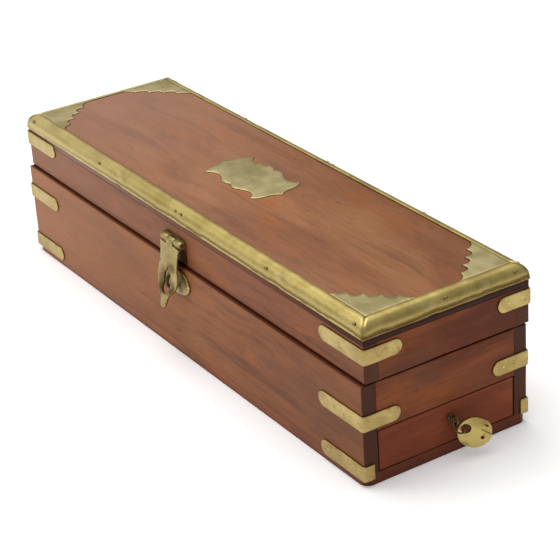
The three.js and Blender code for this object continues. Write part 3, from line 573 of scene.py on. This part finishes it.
def round_node(name, material):
    """Keeps a CAD node made of round wire, smoothed by subdividing it."""
    smooth = finish(name, material).modifiers.new("round", "SUBSURF")
    smooth.levels = 2
    smooth.render_levels = 2


def stations(low, high, inset, spacing):
    """Places along one edge of a board: close together near both ends, evenly spaced between."""
    near = [share * min(inset, (high - low) / 4) for share in END_SHARES]
    steps = max(1, round((high - low - 2 * near[-1]) / spacing))
    first = low + near[-1]
    last = high - near[-1]
    middle = [first + (last - first) * i / steps for i in range(1, steps)]
    return [low + n for n in near] + middle + [high - n for n in reversed(near)]


def board(name, node, material, body, slot, radii, seed, spacing=6 * MM):
    """A board with worn edges. radii gives each face's edge radius as (-x, +x, -y, +y, -z, +z), and
    an edge between two faces takes the smaller one, uneven along its length."""
    low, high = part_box(node)
    reach = max(radii)
    axes = [stations(low[i], high[i], reach, spacing) for i in range(3)]
    index = {}
    vertices = []
    faces = []

    def vertex(key):
        if key not in index:
            index[key] = len(vertices)
            vertices.append(worn(Vector(axes[i][key[i]] for i in range(3))))
        return index[key]

    def worn(place):
        near = []
        for i in range(3):
            near += [radii[2 * i]] if place[i] - low[i] < 1.2 * reach else []
            near += [radii[2 * i + 1]] if high[i] - place[i] < 1.2 * reach else []
        uneven = 0.45 * unsteady(place, 14 * MM, seed) + 0.2 * unsteady(place, 4 * MM, seed)
        radius = min(near) * (1 + uneven)
        inner = Vector(min(max(place[i], low[i] + radius), high[i] - radius) for i in range(3))
        away = place - inner
        return inner + away.normalized() * radius

    for axis in range(3):
        first, second = [i for i in range(3) if i != axis]
        cells = product(range(len(axes[first]) - 1), range(len(axes[second]) - 1))
        for side, (a, b) in product((0, len(axes[axis]) - 1), cells):
            corners = []
            for da, db in ((0, 0), (1, 0), (1, 1), (0, 1)):
                key = [0, 0, 0]
                key[axis] = side
                key[first] = a + da
                key[second] = b + db
                corners.append(vertex(tuple(key)))
            outward = (side > 0) == (axis != 1)
            faces.append(corners if outward else corners[::-1])
    return add_piece(name, vertices, faces, material, body, slot, [node])


def arc(centre, radius, start, end, steps):
    """Points along an arc, angles in degrees."""
    angles = [math.radians(start + (end - start) * i / steps) for i in range(steps + 1)]
    return [(centre[0] + radius * math.cos(a), centre[1] + radius * math.sin(a)) for a in angles]


def curve(start, control, end):
    """Points along a quadratic curve, without its first point."""
    points = []
    for i in range(1, CURVE_STEPS + 1):
        t = i / CURVE_STEPS
        weights = ((1 - t) ** 2, 2 * t * (1 - t), t * t)
        points.append(tuple(sum(w * p[k] for w, p in zip(weights, (start, control, end))) for k in (0, 1)))
    return points


def resample(loop, spacing):
    """Splits a closed outline's long stretches, so that no two points are further apart than that."""
    points = []
    for (x0, y0), (x1, y1) in zip(loop, loop[1:] + loop[:1]):
        steps = max(1, math.ceil(math.dist((x0, y0), (x1, y1)) / spacing))
        points += [(x0 + (x1 - x0) * i / steps, y0 + (y1 - y0) * i / steps) for i in range(steps)]
    return points


def inset(loop, distance):
    """The outline moved to its left by a distance: inwards, for one that runs anticlockwise."""
    moved = []
    for a, b, c in zip(loop[-1:] + loop[:-1], loop, loop[1:] + loop[:1]):
        before = Vector((b[0] - a[0], b[1] - a[1])).normalized()
        after = Vector((c[0] - b[0], c[1] - b[1])).normalized()
        normal = Vector((-before.y - after.y, before.x + after.x))
        if normal.length < 1e-6:
            normal = Vector((-before.y, before.x))
        normal.normalize()
        stretch = min(1 / max(normal.dot(Vector((-before.y, before.x))), 0.3), 2.0)
        moved.append((b[0] + normal.x * distance * stretch, b[1] + normal.y * distance * stretch))
    return moved


def encloses(loop, x, y):
    inside = False
    for (x0, y0), (x1, y1) in zip(loop, loop[1:] + loop[:1]):
        if (y0 > y) != (y1 > y) and x < x0 + (y - y0) * (x1 - x0) / (y1 - y0):
            inside = not inside
    return inside


def sheet_metal(loops, thickness, rounding, spacing, bend, extra=()):
    """Vertices and faces of a flat plate with rounded edges. The first loop is its outline, run
    anticlockwise, and the others are holes, run clockwise. bend(u, v, w) gives the place of a point
    at (u, v) on the plate's pattern and w above its underside. extra holds more inner points."""
    rings = ((0.0, 1.0), (0.3, 0.286), (1.0, 0.0))
    points = []
    drops = []
    edges = []
    rims = []
    for loop in loops:
        for depth, drop in rings:
            first = len(points)
            ring = inset(loop, depth * rounding) if depth else loop
            points += ring
            drops += [drop * rounding] * len(ring)
            edges += [(first + i, first + (i + 1) % len(ring)) for i in range(len(ring))]
            if depth == 0.0:
                rims.append((first, len(ring)))
    margin = rounding + 0.35 * spacing
    clear = [inset(loop, margin) for loop in loops]
    us = [p[0] for p in loops[0]]
    vs = [p[1] for p in loops[0]]
    grid = list(extra)
    columns = int((max(us) - min(us)) / spacing)
    rows = int((max(vs) - min(vs)) / spacing)
    for i in range(columns + 1):
        for j in range(rows + 1):
            shift = 0.5 * spacing * (j % 2)
            grid.append((min(us) + shift + i * spacing, min(vs) + (j + 0.5) * spacing))
    for u, v in grid:
        if encloses(clear[0], u, v) and not any(encloses(hole, u, v) for hole in clear[1:]):
            points.append((u, v))
            drops.append(0.0)
    made, _, triangles, origins, _, _ = delaunay_2d_cdt([Vector(p) for p in points], edges, [], 0, 1e-9)
    kept = []
    for triangle in triangles:
        u = sum(made[i].x for i in triangle) / 3
        v = sum(made[i].y for i in triangle) / 3
        if encloses(loops[0], u, v) and not any(encloses(hole, u, v) for hole in loops[1:]):
            kept.append(list(triangle))
    count = len(made)
    vertices = []
    for level in (1, 0):
        for point, origin in zip(made, origins):
            drop = drops[origin[0]] if origin else 0.0
            vertices.append(bend(point.x, point.y, (thickness - drop) * level))
    faces = kept + [[i + count for i in reversed(triangle)] for triangle in kept]
    where = {source: i for i, origin in enumerate(origins) for source in origin}
    for first, length in rims:
        for i in range(length):
            a = where[first + i]
            b = where[first + (i + 1) % length]
            faces.append([b, a, a + count, b + count])
    return vertices, faces


def lathe(profile, place, normal, steps):
    """Vertices and faces of a turned shape. The profile is a list of (radius, height) that starts
    and ends on the axis, which stands on place along normal."""
    axis = Vector(normal).normalized()
    side = axis.orthogonal().normalized()
    other = axis.cross(side)
    vertices = []
    faces = []
    rings = []
    for radius, height in profile:
        centre = Vector(place) + axis * height
        if radius <= 0:
            rings.append([len(vertices)])
            vertices.append(centre)
            continue
        rings.append(list(range(len(vertices), len(vertices) + steps)))
        for k in range(steps):
            angle = 2 * math.pi * k / steps
            vertices.append(centre + radius * (math.cos(angle) * side + math.sin(angle) * other))
    for lower, upper in zip(rings, rings[1:]):
        for k in range(steps):
            n = (k + 1) % steps
            corners = [lower[k % len(lower)], lower[n % len(lower)]]
            corners += [upper[n % len(upper)], upper[k % len(upper)]]
            faces.append(list(dict.fromkeys(corners)))
    return vertices, faces


def add_group(name, parts, material, body, slot, smooth=True):
    """Makes one piece of several closed shapes, each given as its vertices and faces."""
    vertices = []
    faces = []
    for some_vertices, some_faces in parts:
        start = len(vertices)
        vertices += some_vertices
        faces += [[i + start for i in face] for face in some_faces]
    add_piece(name, vertices, faces, material, body, slot, smooth=smooth)


def recalculate(piece):
    """Turns every face of a closed piece outwards."""
    work = bmesh.new()
    work.from_mesh(piece.data)
    bmesh.ops.recalc_face_normals(work, faces=work.faces)
    work.to_mesh(piece.data)
    work.free()


def pin_head(place, normal, radius, height, seed):
    """A hammered pin's head: low, round, slightly flattened and not quite square to the plate."""
    lean = Vector(unsteady(place, 1 * MM, seed + shift) for shift in (0, 5, 9))
    axis = Vector(normal) + 0.12 * lean
    size = radius * (1 + 0.12 * unsteady(place, 3 * MM, seed))
    profile = [(0, -0.3 * MM), (size, -0.3 * MM), (size, 0.25 * height)]
    profile += [(0.86 * size, 0.72 * height), (0.55 * size, 0.95 * height), (0, height)]
    return lathe(profile, place, axis, 14)


# ---- boards, linings and the CAD nodes that are kept ----

JOINT = 0.14 * MM  # edge radius where two boards meet
EASED = 0.75 * MM  # edge radius where a board can be touched
RIM = 0.95 * MM  # edge radius of the case's and lid's meeting rims
COVERED = 0.3 * MM  # edge radius under the brass edging
FACE = 0.45 * MM  # edge radius round the drawer's front
THIN = 0.2 * MM  # edge radius of the drawer's thin boards

THIN_BOARD = (JOINT, JOINT, THIN, THIN, THIN, 0.6 * MM)
PAD = (0.5 * MM,) * 6
PAD_SPACING = 4 * MM
BOARDS = (
    # piece, CAD node, material, body, slot, each face's edge radius, seed
    ("front_board", "case_front_board", WOOD_FRONT, "case", "wood_side",
     (EASED, EASED, EASED, JOINT, JOINT, RIM), 1.0),
    ("back_board", "case_back_board", WOOD_FRONT, "case", "wood_side",
     (EASED, EASED, JOINT, EASED, JOINT, RIM), 2.0),
    ("left_end_board", "case_left_end", WOOD_END, "case", "wood_end",
     (EASED, JOINT, JOINT, JOINT, JOINT, RIM), 3.0),
    ("right_end_board", "case_right_end_panel", WOOD_END, "case", "wood_end",
     (JOINT, EASED, JOINT, JOINT, 0.4 * MM, RIM), 4.0),
    ("bay_floor", "compartment_floor", WOOD_INSIDE, "case", "wood_inside", (JOINT,) * 6, 5.0),
    ("drawer_face", "drawer_front", WOOD_DRAWER, "drawer", "wood_end",
     (JOINT, 0.6 * MM, FACE, FACE, FACE, FACE), 7.0),
    ("drawer_side_front_board", "drawer_side_front", WOOD_INSIDE, "drawer", "wood_inside", THIN_BOARD, 8.0),
    ("drawer_side_back_board", "drawer_side_back", WOOD_INSIDE, "drawer", "wood_inside", THIN_BOARD, 8.0),
    ("drawer_end_board", "drawer_inner_end", WOOD_INSIDE, "drawer", "wood_inside", THIN_BOARD, 9.0),
    ("drawer_floor", "drawer_bottom", WOOD_INSIDE, "drawer", "wood_inside", (JOINT,) * 6, 10.0),
    ("drawer_velvet", "drawer_lining", VELVET, "drawer", "velvet", PAD, 11.0, PAD_SPACING),
    ("lid_velvet", "lid_lining", VELVET, "lid", "velvet", PAD, 12.0, PAD_SPACING),
    ("lid_front_rail", "lid_front_board", WOOD_LID, "lid", "wood_side",
     (EASED, EASED, EASED, JOINT, RIM, COVERED), 13.0),
    ("lid_back_rail", "lid_back_board", WOOD_LID, "lid", "wood_side",
     (EASED, EASED, JOINT, EASED, RIM, COVERED), 14.0),
    ("lid_left_rail", "lid_left_end", WOOD_END, "lid", "wood_end",
     (EASED, JOINT, JOINT, JOINT, RIM, COVERED), 15.0),
    ("lid_right_rail", "lid_right_end", WOOD_END, "lid", "wood_end",
     (JOINT, EASED, JOINT, JOINT, RIM, COVERED), 16.0),
)
FINISHED = (
    # CAD node, material, width of its soft edges
    ("bottom_board", WOOD_BASE, 1.3 * MM),
    ("pen_rest_left", WOOD_INSIDE, 0.5 * MM),
    ("pen_rest_right", WOOD_INSIDE, 0.5 * MM),
    ("compartment_lining", VELVET, 0.35 * MM),
    ("lid_top_panel", WOOD_TOP, COVERED, 2),
    ("hasp_leaf", BRASS_LEAF, 0.12 * MM),
    ("hasp_pin", BRASS_DARK, 0.15 * MM),
    ("hasp_plate", BRASS_HASP, 0.18 * MM),
    ("staple_plate", BRASS_HASP, 0.25 * MM),
)
ROUND_NODES = ("staple", "pull_screw_eye", "pull_ring")


def add_boards():
    for row in BOARDS:
        board(*row)
    for row in FINISHED:
        finish_node(*row)
    for name in ROUND_NODES:
        round_node(name, BRASS_DARK)


# ---- the lid's brass ----

TRIM_SIDES = ("front", "back", "left", "right")
TRIM_REACH = 5.65 * MM  # how far the edging runs in over the top
TRIM_ROUND = 4.7 * MM  # how far in its rounded shoulder reaches
TRIM_LIP = 1.3 * MM  # height of the lip under the shoulder
TRIM_SHEET = 0.8 * MM  # thickness of its brass
TRIM_STEPS = 12  # steps in the shoulder
TRIM_SPACING = 2.2 * MM
TRIM_NICKS = {
    # for each strip: where along it, how deep, how wide
    "front": [(-0.052, 0.35 * MM, 2.4 * MM), (0.087, 0.3 * MM, 3.0 * MM)],
    "right": [(-0.0075, 0.45 * MM, 1.6 * MM), (0.021, 0.25 * MM, 2.4 * MM)],
    "back": [(0.06, 0.4 * MM, 3.0 * MM)],
    "left": [(0.01, 0.3 * MM, 2.0 * MM)],
}


def edging_section(drop):
    """The folded sheet's section as (inset, height below the top), from the lip's inner edge round
    the outside and back along the inside."""
    angles = [math.radians(90 * i / TRIM_STEPS) for i in range(TRIM_STEPS + 1)]
    outside = [(0.0, -drop), (-0.22 * MM, -drop + 0.2 * MM), (-0.18 * MM, -drop + 0.75 * MM)]
    outside += [(0.04 * MM, -drop + 1.15 * MM)]
    for angle in angles:
        outside.append((TRIM_ROUND * (1 - math.cos(angle)), -(drop - TRIM_LIP) * (1 - math.sin(angle))))
    outside += [(TRIM_REACH - 0.25 * MM, 0), (TRIM_REACH - 0.05 * MM, -0.07 * MM)]
    outside += [(TRIM_REACH, -0.25 * MM)]
    inside = [(TRIM_REACH, -TRIM_SHEET)]
    inner = TRIM_ROUND - TRIM_SHEET
    for angle in reversed(angles):
        across = TRIM_SHEET + inner * (1 - math.cos(angle))
        inside.append((across, -TRIM_SHEET - inner * (1 - math.sin(angle))))
    inside += [(TRIM_SHEET, -drop)]
    return outside, inside


def nick(distance, nicks):
    """How deep the nicks are at a distance along a strip."""
    return sum(depth * math.exp(-(((distance - where) / width) ** 2)) for where, depth, width in nicks)


def edging_dent(distance, height, nicks, seed):
    """How far the edging's surface is knocked in or out, in metres, at a distance along it."""
    place = Vector((distance, height * 1.5, seed))
    wave = 0.05 * MM * unsteady(place, 18 * MM, seed) + 0.012 * MM * unsteady(place, 5 * MM, seed)
    return wave - nick(distance, nicks)


def edging_strip(side, half, origin, inward, along, top, drop, seed):
    """Vertices and faces of one strip. It runs along both ways from origin, and its mitred ends
    follow its inset."""
    outside, inside = edging_section(drop)
    section = outside + inside
    nicks = TRIM_NICKS[side]
    steps = round(2 * half / TRIM_SPACING)
    vertices = []
    for i in range(steps + 1):
        share = 2 * i / steps - 1
        fade = min(1, (1 - abs(share)) * 12)
        for k, (depth, height) in enumerate(section):
            distance = share * (half - depth)
            bump = edging_dent(distance, height, nicks, seed) * fade if k < len(outside) else 0.0
            lift = 0.0
            if height < -0.8 * drop:
                lift = 0.2 * MM * unsteady((distance, 0, 0), 11 * MM, seed + 3) * fade
                lift += 0.5 * nick(distance, nicks)
            bulge = bump * min(1, -height / (2 * MM)) if depth < TRIM_ROUND else 0.35 * bump
            flat = origin + inward * (depth - bulge) + along * distance
            vertices.append((flat.x, flat.y, top + height + lift + 0.3 * bump))
    count = len(section)
    faces = []
    for i in range(steps):
        for k in range(count):
            n = (k + 1) % count
            faces.append([i * count + k, (i + 1) * count + k, (i + 1) * count + n, i * count + n])
    faces.append(list(range(count)))
    faces.append([steps * count + k for k in reversed(range(count))])
    return vertices, faces


def add_edging():
    """Four strips of brass with a rounded shoulder, mitred at the corners, with a beaten lower lip."""
    boxes = [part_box(f"lid_trim_{side}") for side in TRIM_SIDES]
    low = Vector(min(box[0][i] for box in boxes) for i in range(3))
    high = Vector(max(box[1][i] for box in boxes) for i in range(3))
    middle = (low + high) / 2
    half = (high - low) / 2
    strips = (
        ("front", half.x, Vector((middle.x, low.y)), Vector((0, 1)), Vector((1, 0))),
        ("back", half.x, Vector((middle.x, high.y)), Vector((0, -1)), Vector((-1, 0))),
        ("left", half.y, Vector((low.x, middle.y)), Vector((1, 0)), Vector((0, -1))),
        ("right", half.y, Vector((high.x, middle.y)), Vector((-1, 0)), Vector((0, 1))),
    )
    for seed, strip in enumerate(strips):
        side = strip[0]
        vertices, faces = edging_strip(*strip, high.z, high.z - low.z, seed)
        node = f"lid_trim_{side}"
        piece = add_piece(f"edging_{side}", vertices, faces, BRASS_TRIM, "lid", "brass_bright", [node])
        recalculate(piece)


PLATE_ROUNDING = 0.16 * MM
PLATE_SPACING = 1.8 * MM
PLATE_WAVE = 0.05 * MM
SCALLOPS = 5
SCALLOP_DIP = 3.2 * MM
SCALLOP_POINT = 0.6 * MM  # how far the points between two scallops stand out


def scalloped_triangle(leg):
    """A right-angled corner whose long side is cut into scallops, shallower at both ends."""
    loop = [(0.0, 0.0), (leg, 0.0)]
    for i in range(1, SCALLOPS + 1):
        last = i == SCALLOPS
        middle = (i - 0.5) / SCALLOPS
        depth = SCALLOP_DIP / 3 if i == 1 or last else SCALLOP_DIP
        control = (leg * (1 - middle) - depth, leg * middle - depth)
        out = 0.0 if last else SCALLOP_POINT
        end = (leg * (1 - i / SCALLOPS) + out, leg * i / SCALLOPS + out)
        loop += curve(loop[-1], control, end)
    return loop


def add_plate(name, node, outline, place, wave_size, seed, mirrored=False):
    """A slightly wavy sheet let into the lid's top. place(u, v) turns its own u and v into x and y."""
    low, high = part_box(node)

    def bend(u, v, w):
        wave = PLATE_WAVE * unsteady((u, v, 0), wave_size, seed) if w > 0 else 0.0
        return (*place(u, v), low.z + w + wave)

    vertices, faces = sheet_metal([outline], high.z - low.z, PLATE_ROUNDING, PLATE_SPACING, bend)
    if mirrored:
        faces = [f[::-1] for f in faces]
    add_piece(name, vertices, faces, BRASS_PLATE, "lid", "brass_aged", [node])


def add_corner_plates():
    for (side, sx), (face, sy) in product(SIDES, FACES):
        node = f"lid_corner_plate_{face}_{side}"
        low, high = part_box(node)
        corner_x, corner_y = corner_of(low, high, sx, sy)

        def place(u, v):
            return corner_x - sx * u, corner_y - sy * v

        outline = resample(scalloped_triangle(high.x - low.x), 1.2 * MM)
        name = f"corner_plate_{face}_{side}"
        add_plate(name, node, outline, place, 7 * MM, 20 + sx + 3 * sy, sx * sy < 0)


def cartouche_outline(half_length, half_width):
    """A point at each end, a horn at each corner and a double lobe along each side. Each stop of
    one quarter is a curve's start, control point and end, as shares of both halves."""
    stops = [
        ((1.0, 0.0), (0.93, 0.1), (0.885, 0.36)),
        ((0.885, 0.36), (0.875, 0.7), (0.845, 0.8)),
        ((0.845, 0.8), (0.81, 0.93), (0.75, 1.0)),
        ((0.75, 1.0), (0.655, 0.74), (0.5, 0.74)),
        ((0.5, 0.74), (0.36, 0.8), (0.22, 0.975)),
        ((0.22, 0.975), (0.08, 1.02), (0.0, 0.865)),
    ]
    quarter = [stops[0][0]]
    for start, control, end in stops:
        quarter += curve(start, control, end)
    loop = []
    for sx, sy in ((1, 1), (-1, 1), (-1, -1), (1, -1)):
        part = [(sx * x * half_length, sy * y * half_width) for x, y in quarter]
        loop += part[:-1] if sx * sy > 0 else part[::-1][:-1]
    return loop


def add_cartouche():
    low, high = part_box("lid_cartouche")
    centre = (low + high) / 2
    half = (high - low) / 2

    def place(u, v):
        return centre.x + u, centre.y + v

    outline = resample(cartouche_outline(half.x, half.y), 1.0 * MM)
    add_plate("name_plate", "lid_cartouche", outline, place, 9 * MM, 31)


# ---- straps and their pins ----

STRAP_THICKNESS = 0.7 * MM
STRAP_FOLD = 0.9 * MM  # outer radius of the fold round the corner
STRAP_ARC = STRAP_FOLD * math.pi / 2
PIN_RADIUS = 0.7 * MM
PIN_RISE = 0.13 * MM
PIN_STRAY = 0.9 * MM  # how far a pin may sit off the strap's middle line
FRONT_PIN = 5.4 * MM  # each pin's distance from the end of its leg
END_PIN = 5.6 * MM
TRIM_PIN_RADIUS = 0.85 * MM
TRIM_PIN_RISE = 0.35 * MM
TRIM_PIN_ANGLE = math.radians(30)


def strap_outline(long_leg, short_leg, half, square):
    """The strap's flat pattern: u runs from the short leg's end (negative) to the long leg's."""
    loop = arc((long_leg - half, 0), half, -90, 90, 16)
    if square:
        return loop + [(-short_leg, half), (-short_leg, -half)]
    return loop + arc((-short_leg + half, 0), half, 90, 270, 16)


def strap_pins(low, high, sx, sy, square, seed):
    """A pin in each leg, but none in a square one."""
    corner_x, corner_y = corner_of(low, high, sx, sy)
    middle_z = (low.z + high.z) / 2
    distance = (high.x - low.x) - FRONT_PIN
    place = (corner_x - sx * distance, corner_y, middle_z + PIN_STRAY * unsteady((seed, 0.5, 0), 1))
    pins = [pin_head(place, (0, sy, 0), PIN_RADIUS, PIN_RISE, seed)]
    if not square:
        distance = (high.y - low.y) - END_PIN
        place = (corner_x, corner_y - sy * distance, middle_z + PIN_STRAY * unsteady((seed, 7.5, 0), 1))
        pins.append(pin_head(place, (sx, 0, 0), PIN_RADIUS, PIN_RISE, seed))
    return pins


def add_strap(node, body, sx, sy, square, seed):
    """One strap, cut flat and folded round its corner, with its pins."""
    low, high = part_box(node)
    corner_x, corner_y = corner_of(low, high, sx, sy)
    middle_z = (low.z + high.z) / 2
    half = (high.z - low.z) / 2
    half_arc = STRAP_ARC / 2
    front_leg = (high.x - low.x) - STRAP_FOLD + half_arc
    end_leg = (high.y - low.y) - STRAP_FOLD + half_arc
    loop = resample(strap_outline(front_leg, end_leg, half, square), 1.4 * MM)
    # More points where the strap folds. They stand off the pattern's own grid by a hair.
    fold = [(i * STRAP_ARC / 8 + 1e-6, j * half / 4) for i in range(-4, 5) for j in range(-3, 4)]

    def bend(u, v, w):
        proud = STRAP_THICKNESS - w
        if w > 0:
            proud -= 0.06 * MM * unsteady((u, v, 0), 6 * MM, seed)
            proud -= 0.05 * MM * unsteady((u, v, 1), 15 * MM, seed)
        z = middle_z + v + 0.12 * MM * unsteady((u, 0, 0), 12 * MM, seed + 1)
        if u > half_arc:
            return (corner_x - sx * (STRAP_FOLD + u - half_arc), corner_y - sy * proud, z)
        if u < -half_arc:
            return (corner_x - sx * proud, corner_y - sy * (STRAP_FOLD - u - half_arc), z)
        angle = math.pi / 4 + (u / STRAP_ARC) * math.pi / 2
        radius = STRAP_FOLD - proud
        x = corner_x - sx * (STRAP_FOLD - radius * math.cos(angle))
        y = corner_y - sy * (STRAP_FOLD - radius * math.sin(angle))
        return (x, y, z)

    vertices, faces = sheet_metal([loop], STRAP_THICKNESS, 0.22 * MM, 1.7 * MM, bend, fold)
    piece = add_piece(f"{node}_brass", vertices, faces, BRASS_AGED, body, "brass_aged", [node])
    recalculate(piece)
    pins = strap_pins(low, high, sx, sy, square, seed)
    add_group(f"{node}_pins", pins, BRASS_PIN, body, "brass_aged")


def add_straps():
    levels = (("lower", "case"), ("upper", "case"), ("lid", "lid"))
    for i, ((side, sx), (face, sy), (level, body)) in enumerate(product(SIDES, FACES, levels)):
        square = level == "lower" and sx > 0
        add_strap(f"{level}_strap_{face}_{side}", body, sx, sy, square, 40 + i)


def add_edging_pins():
    """Pins that hold the edging. They stand a little proud of its shoulder."""
    trims = {side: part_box(f"lid_trim_{side}") for side in TRIM_SIDES}
    tilt_out = math.cos(TRIM_PIN_ANGLE)
    tilt_up = math.sin(TRIM_PIN_ANGLE)
    height = trims["front"][1].z - TRIM_ROUND * (1 - tilt_up)
    out = TRIM_ROUND * (1 - tilt_out)
    pins = []
    for face, sy in FACES:
        y = trims[face][0].y if sy < 0 else trims[face][1].y
        for x in (-143, -72, 1, 6, 78, 143.5):
            pins.append(((x * MM, y - sy * out, height), (0, sy * tilt_out, tilt_up)))
    for side, sx in SIDES:
        x = trims[side][0].x if sx < 0 else trims[side][1].x
        for y in (1, 38):
            pins.append(((x - sx * out, y * MM, height), (sx * tilt_out, 0, tilt_up)))
    parts = []
    for i, (place, normal) in enumerate(pins):
        parts.append(pin_head(place, normal, TRIM_PIN_RADIUS, TRIM_PIN_RISE, 60 + i))
    add_group("edging_pins", parts, BRASS_PIN, "lid", "brass_bright")


# ---- hinges and staple ----

LEAF_THICKNESS = 1.2 * MM
SCREW_RADIUS = 1.5 * MM
SCREW_SHARES = (0.16, 0.5, 0.84)  # the screws' places along a leaf
SCREW_LINE = 4.2 * MM  # the outer screws' distance from the leaf's edge
SCREW_STAGGER = 2.6 * MM  # the middle screw is this much nearer the pin
STAPLE_PIN_OUT = 10.5 * MM


def slotted_screw(place, normal, radius, turn):
    """A countersunk screw head with its slot, as a dished disc and a dark groove's walls: the
    dark strip is painted shade where the slot's recess would be.
    """
    profile = [(0, -0.4 * MM), (radius, -0.4 * MM), (radius, 0.04 * MM), (0.88 * radius, 0.1 * MM)]
    profile += [(0.5 * radius, 0.13 * MM), (0, 0.14 * MM)]
    head = lathe(profile, place, normal, 20)
    axis = Vector(normal).normalized()
    side = axis.orthogonal().normalized()
    along = math.cos(turn) * side + math.sin(turn) * axis.cross(side)
    across = axis.cross(along)
    base = Vector(place) + axis * 0.06 * MM
    half_length = 0.86 * radius
    half_width = 0.13 * radius
    corners = [
        base + a * half_length * along + b * half_width * across + c * 0.09 * MM * axis
        for c in (0, 1)
        for a, b in ((-1, -1), (1, -1), (1, 1), (-1, 1))
    ]
    walls = [[k, (k + 1) % 4, (k + 1) % 4 + 4, k + 4] for k in range(4)]
    return head, (corners, [[3, 2, 1, 0], [4, 5, 6, 7], *walls])


def add_hinges():
    for side, _ in SIDES:
        finish_node(f"hinge_pin_{side}", BRASS_DARK, 0.2 * MM)
        for body, up in (("case", 1), ("lid", -1)):
            leaf = f"hinge_{body}_leaf_{side}"
            finish_node(leaf, BRASS_AGED, 0.18 * MM)
            low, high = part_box(leaf)
            far_edge = low.z if up > 0 else high.z
            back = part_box(f"{body}_back_board")[1].y + LEAF_THICKNESS
            heads = []
            grooves = []
            for i, share in enumerate(SCREW_SHARES):
                x = low.x + share * (high.x - low.x)
                z = far_edge + up * (SCREW_LINE + (SCREW_STAGGER if i == 1 else 0))
                head, groove = slotted_screw((x, back, z), (0, 1, 0), SCREW_RADIUS, 0.6 + 1.1 * i)
                heads.append(head)
                grooves.append(groove)
            add_group(f"hinge_{body}_screws_{side}", heads, BRASS_AGED, body, "brass_aged")
            # painted shade: the slots are dark strips laid on the screw heads
            add_group(f"hinge_{body}_slots_{side}", grooves, BRASS_DARK, body, "brass_dark", smooth=False)


def add_staple_pins():
    centre = centre_of("staple_plate")
    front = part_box("staple_plate")[0].y
    pins = []
    for sx in (-1, 1):
        place = (centre.x + sx * STAPLE_PIN_OUT, front, centre.z)
        pins.append(pin_head(place, (0, -1, 0), PIN_RADIUS, 0.15 * MM, 80 + sx))
    add_group("staple_plate_pins", pins, BRASS_AGED, "case", "brass_aged")


# ---- the drawer pull's disc ----

DISC_TURN = math.radians(31.5)  # towards the front
DISC_THICKNESS = 1.2 * MM
DISC_SPACING = 0.7 * MM
DISC_HOLES = (
    # centre, radius, steps
    ((-3.73 * MM, 2.34 * MM), 2.2 * MM, 30),
    ((3.27 * MM, -2.56 * MM), 0.85 * MM, 16),
)
SLOT_TURN = math.radians(-33)
SLOT_ALONG = Vector((math.cos(SLOT_TURN), math.sin(SLOT_TURN)))
SLOT_ACROSS = Vector((-SLOT_ALONG.y, SLOT_ALONG.x))
SLOT_CENTRE = Vector((5.2, 2.7)) * MM
SLOT_HALF_LENGTH = 0.6 * MM
SLOT_HALF_WIDTH = 0.32 * MM
STEP_START = Vector((2.6, 1.5)) * MM  # the stamped step runs from here along the slot's direction
STEP_DEPTH = 0.7 * MM


def disc_outlines(radius):
    """The rim, run anticlockwise, and the two holes and the slot, run clockwise."""
    loops = [arc((0, 0), radius, 0, 360, 72)[:-1]]
    loops += [arc(centre, hole, 0, 360, steps)[:-1][::-1] for centre, hole, steps in DISC_HOLES]
    slot = arc((SLOT_HALF_LENGTH, 0), SLOT_HALF_WIDTH, -90, 90, 6)
    slot += arc((-SLOT_HALF_LENGTH, 0), SLOT_HALF_WIDTH, 90, 270, 6)
    loops.append([tuple(SLOT_CENTRE + a * SLOT_ALONG + b * SLOT_ACROSS) for a, b in reversed(slot)])
    return loops


def step_points():
    """More points close to the step's edge, so that it comes out sharp."""
    points = []
    for i in range(20):
        for offset in (-0.3, -0.12, 0.12, 0.3):
            along = (0.4 * i - 0.6) * MM
            points.append(tuple(STEP_START + along * SLOT_ALONG + offset * MM * SLOT_ACROSS))
    return points


def add_disc():
    """A pierced disc, facing out from the end and turned towards the front, stamped with a step."""
    low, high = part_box("pull_disc")
    centre = (low + high) / 2
    facing = Vector((math.cos(DISC_TURN), -math.sin(DISC_TURN), 0))
    sideways = Vector((math.sin(DISC_TURN), math.cos(DISC_TURN), 0))
    radius = (high.z - low.z) / 2

    def bend(u, v, w):
        beyond = (Vector((u, v)) - STEP_START).dot(SLOT_ACROSS)
        along = (Vector((u, v)) - STEP_START).dot(SLOT_ALONG)
        stamped = max(0, min(1, beyond / (0.3 * MM) + 0.5)) * max(0, min(1, along / (1.2 * MM) + 0.5))
        dish = 0.25 * MM * ((u * u + v * v) / (radius * radius) - 0.5)
        wave = 0.08 * MM * unsteady((u, v, 0), 5 * MM, 90)
        out = w - DISC_THICKNESS / 2 + (wave - STEP_DEPTH * stamped if w > 0 else 0.0) - dish
        return centre + u * sideways + v * UP + out * facing

    loops = disc_outlines(radius)
    vertices, faces = sheet_metal(loops, DISC_THICKNESS, 0.2 * MM, DISC_SPACING, bend, step_points())
    piece = add_piece("pull_tag", vertices, faces, BRASS_DISC, "pull_disc", "brass_bright", ["pull_disc"])
    recalculate(piece)


add_camera()
add_studio()
add_boards()
add_edging()
add_edging_pins()
add_corner_plates()
add_cartouche()
add_straps()
add_hinges()
add_staple_pins()
add_disc()
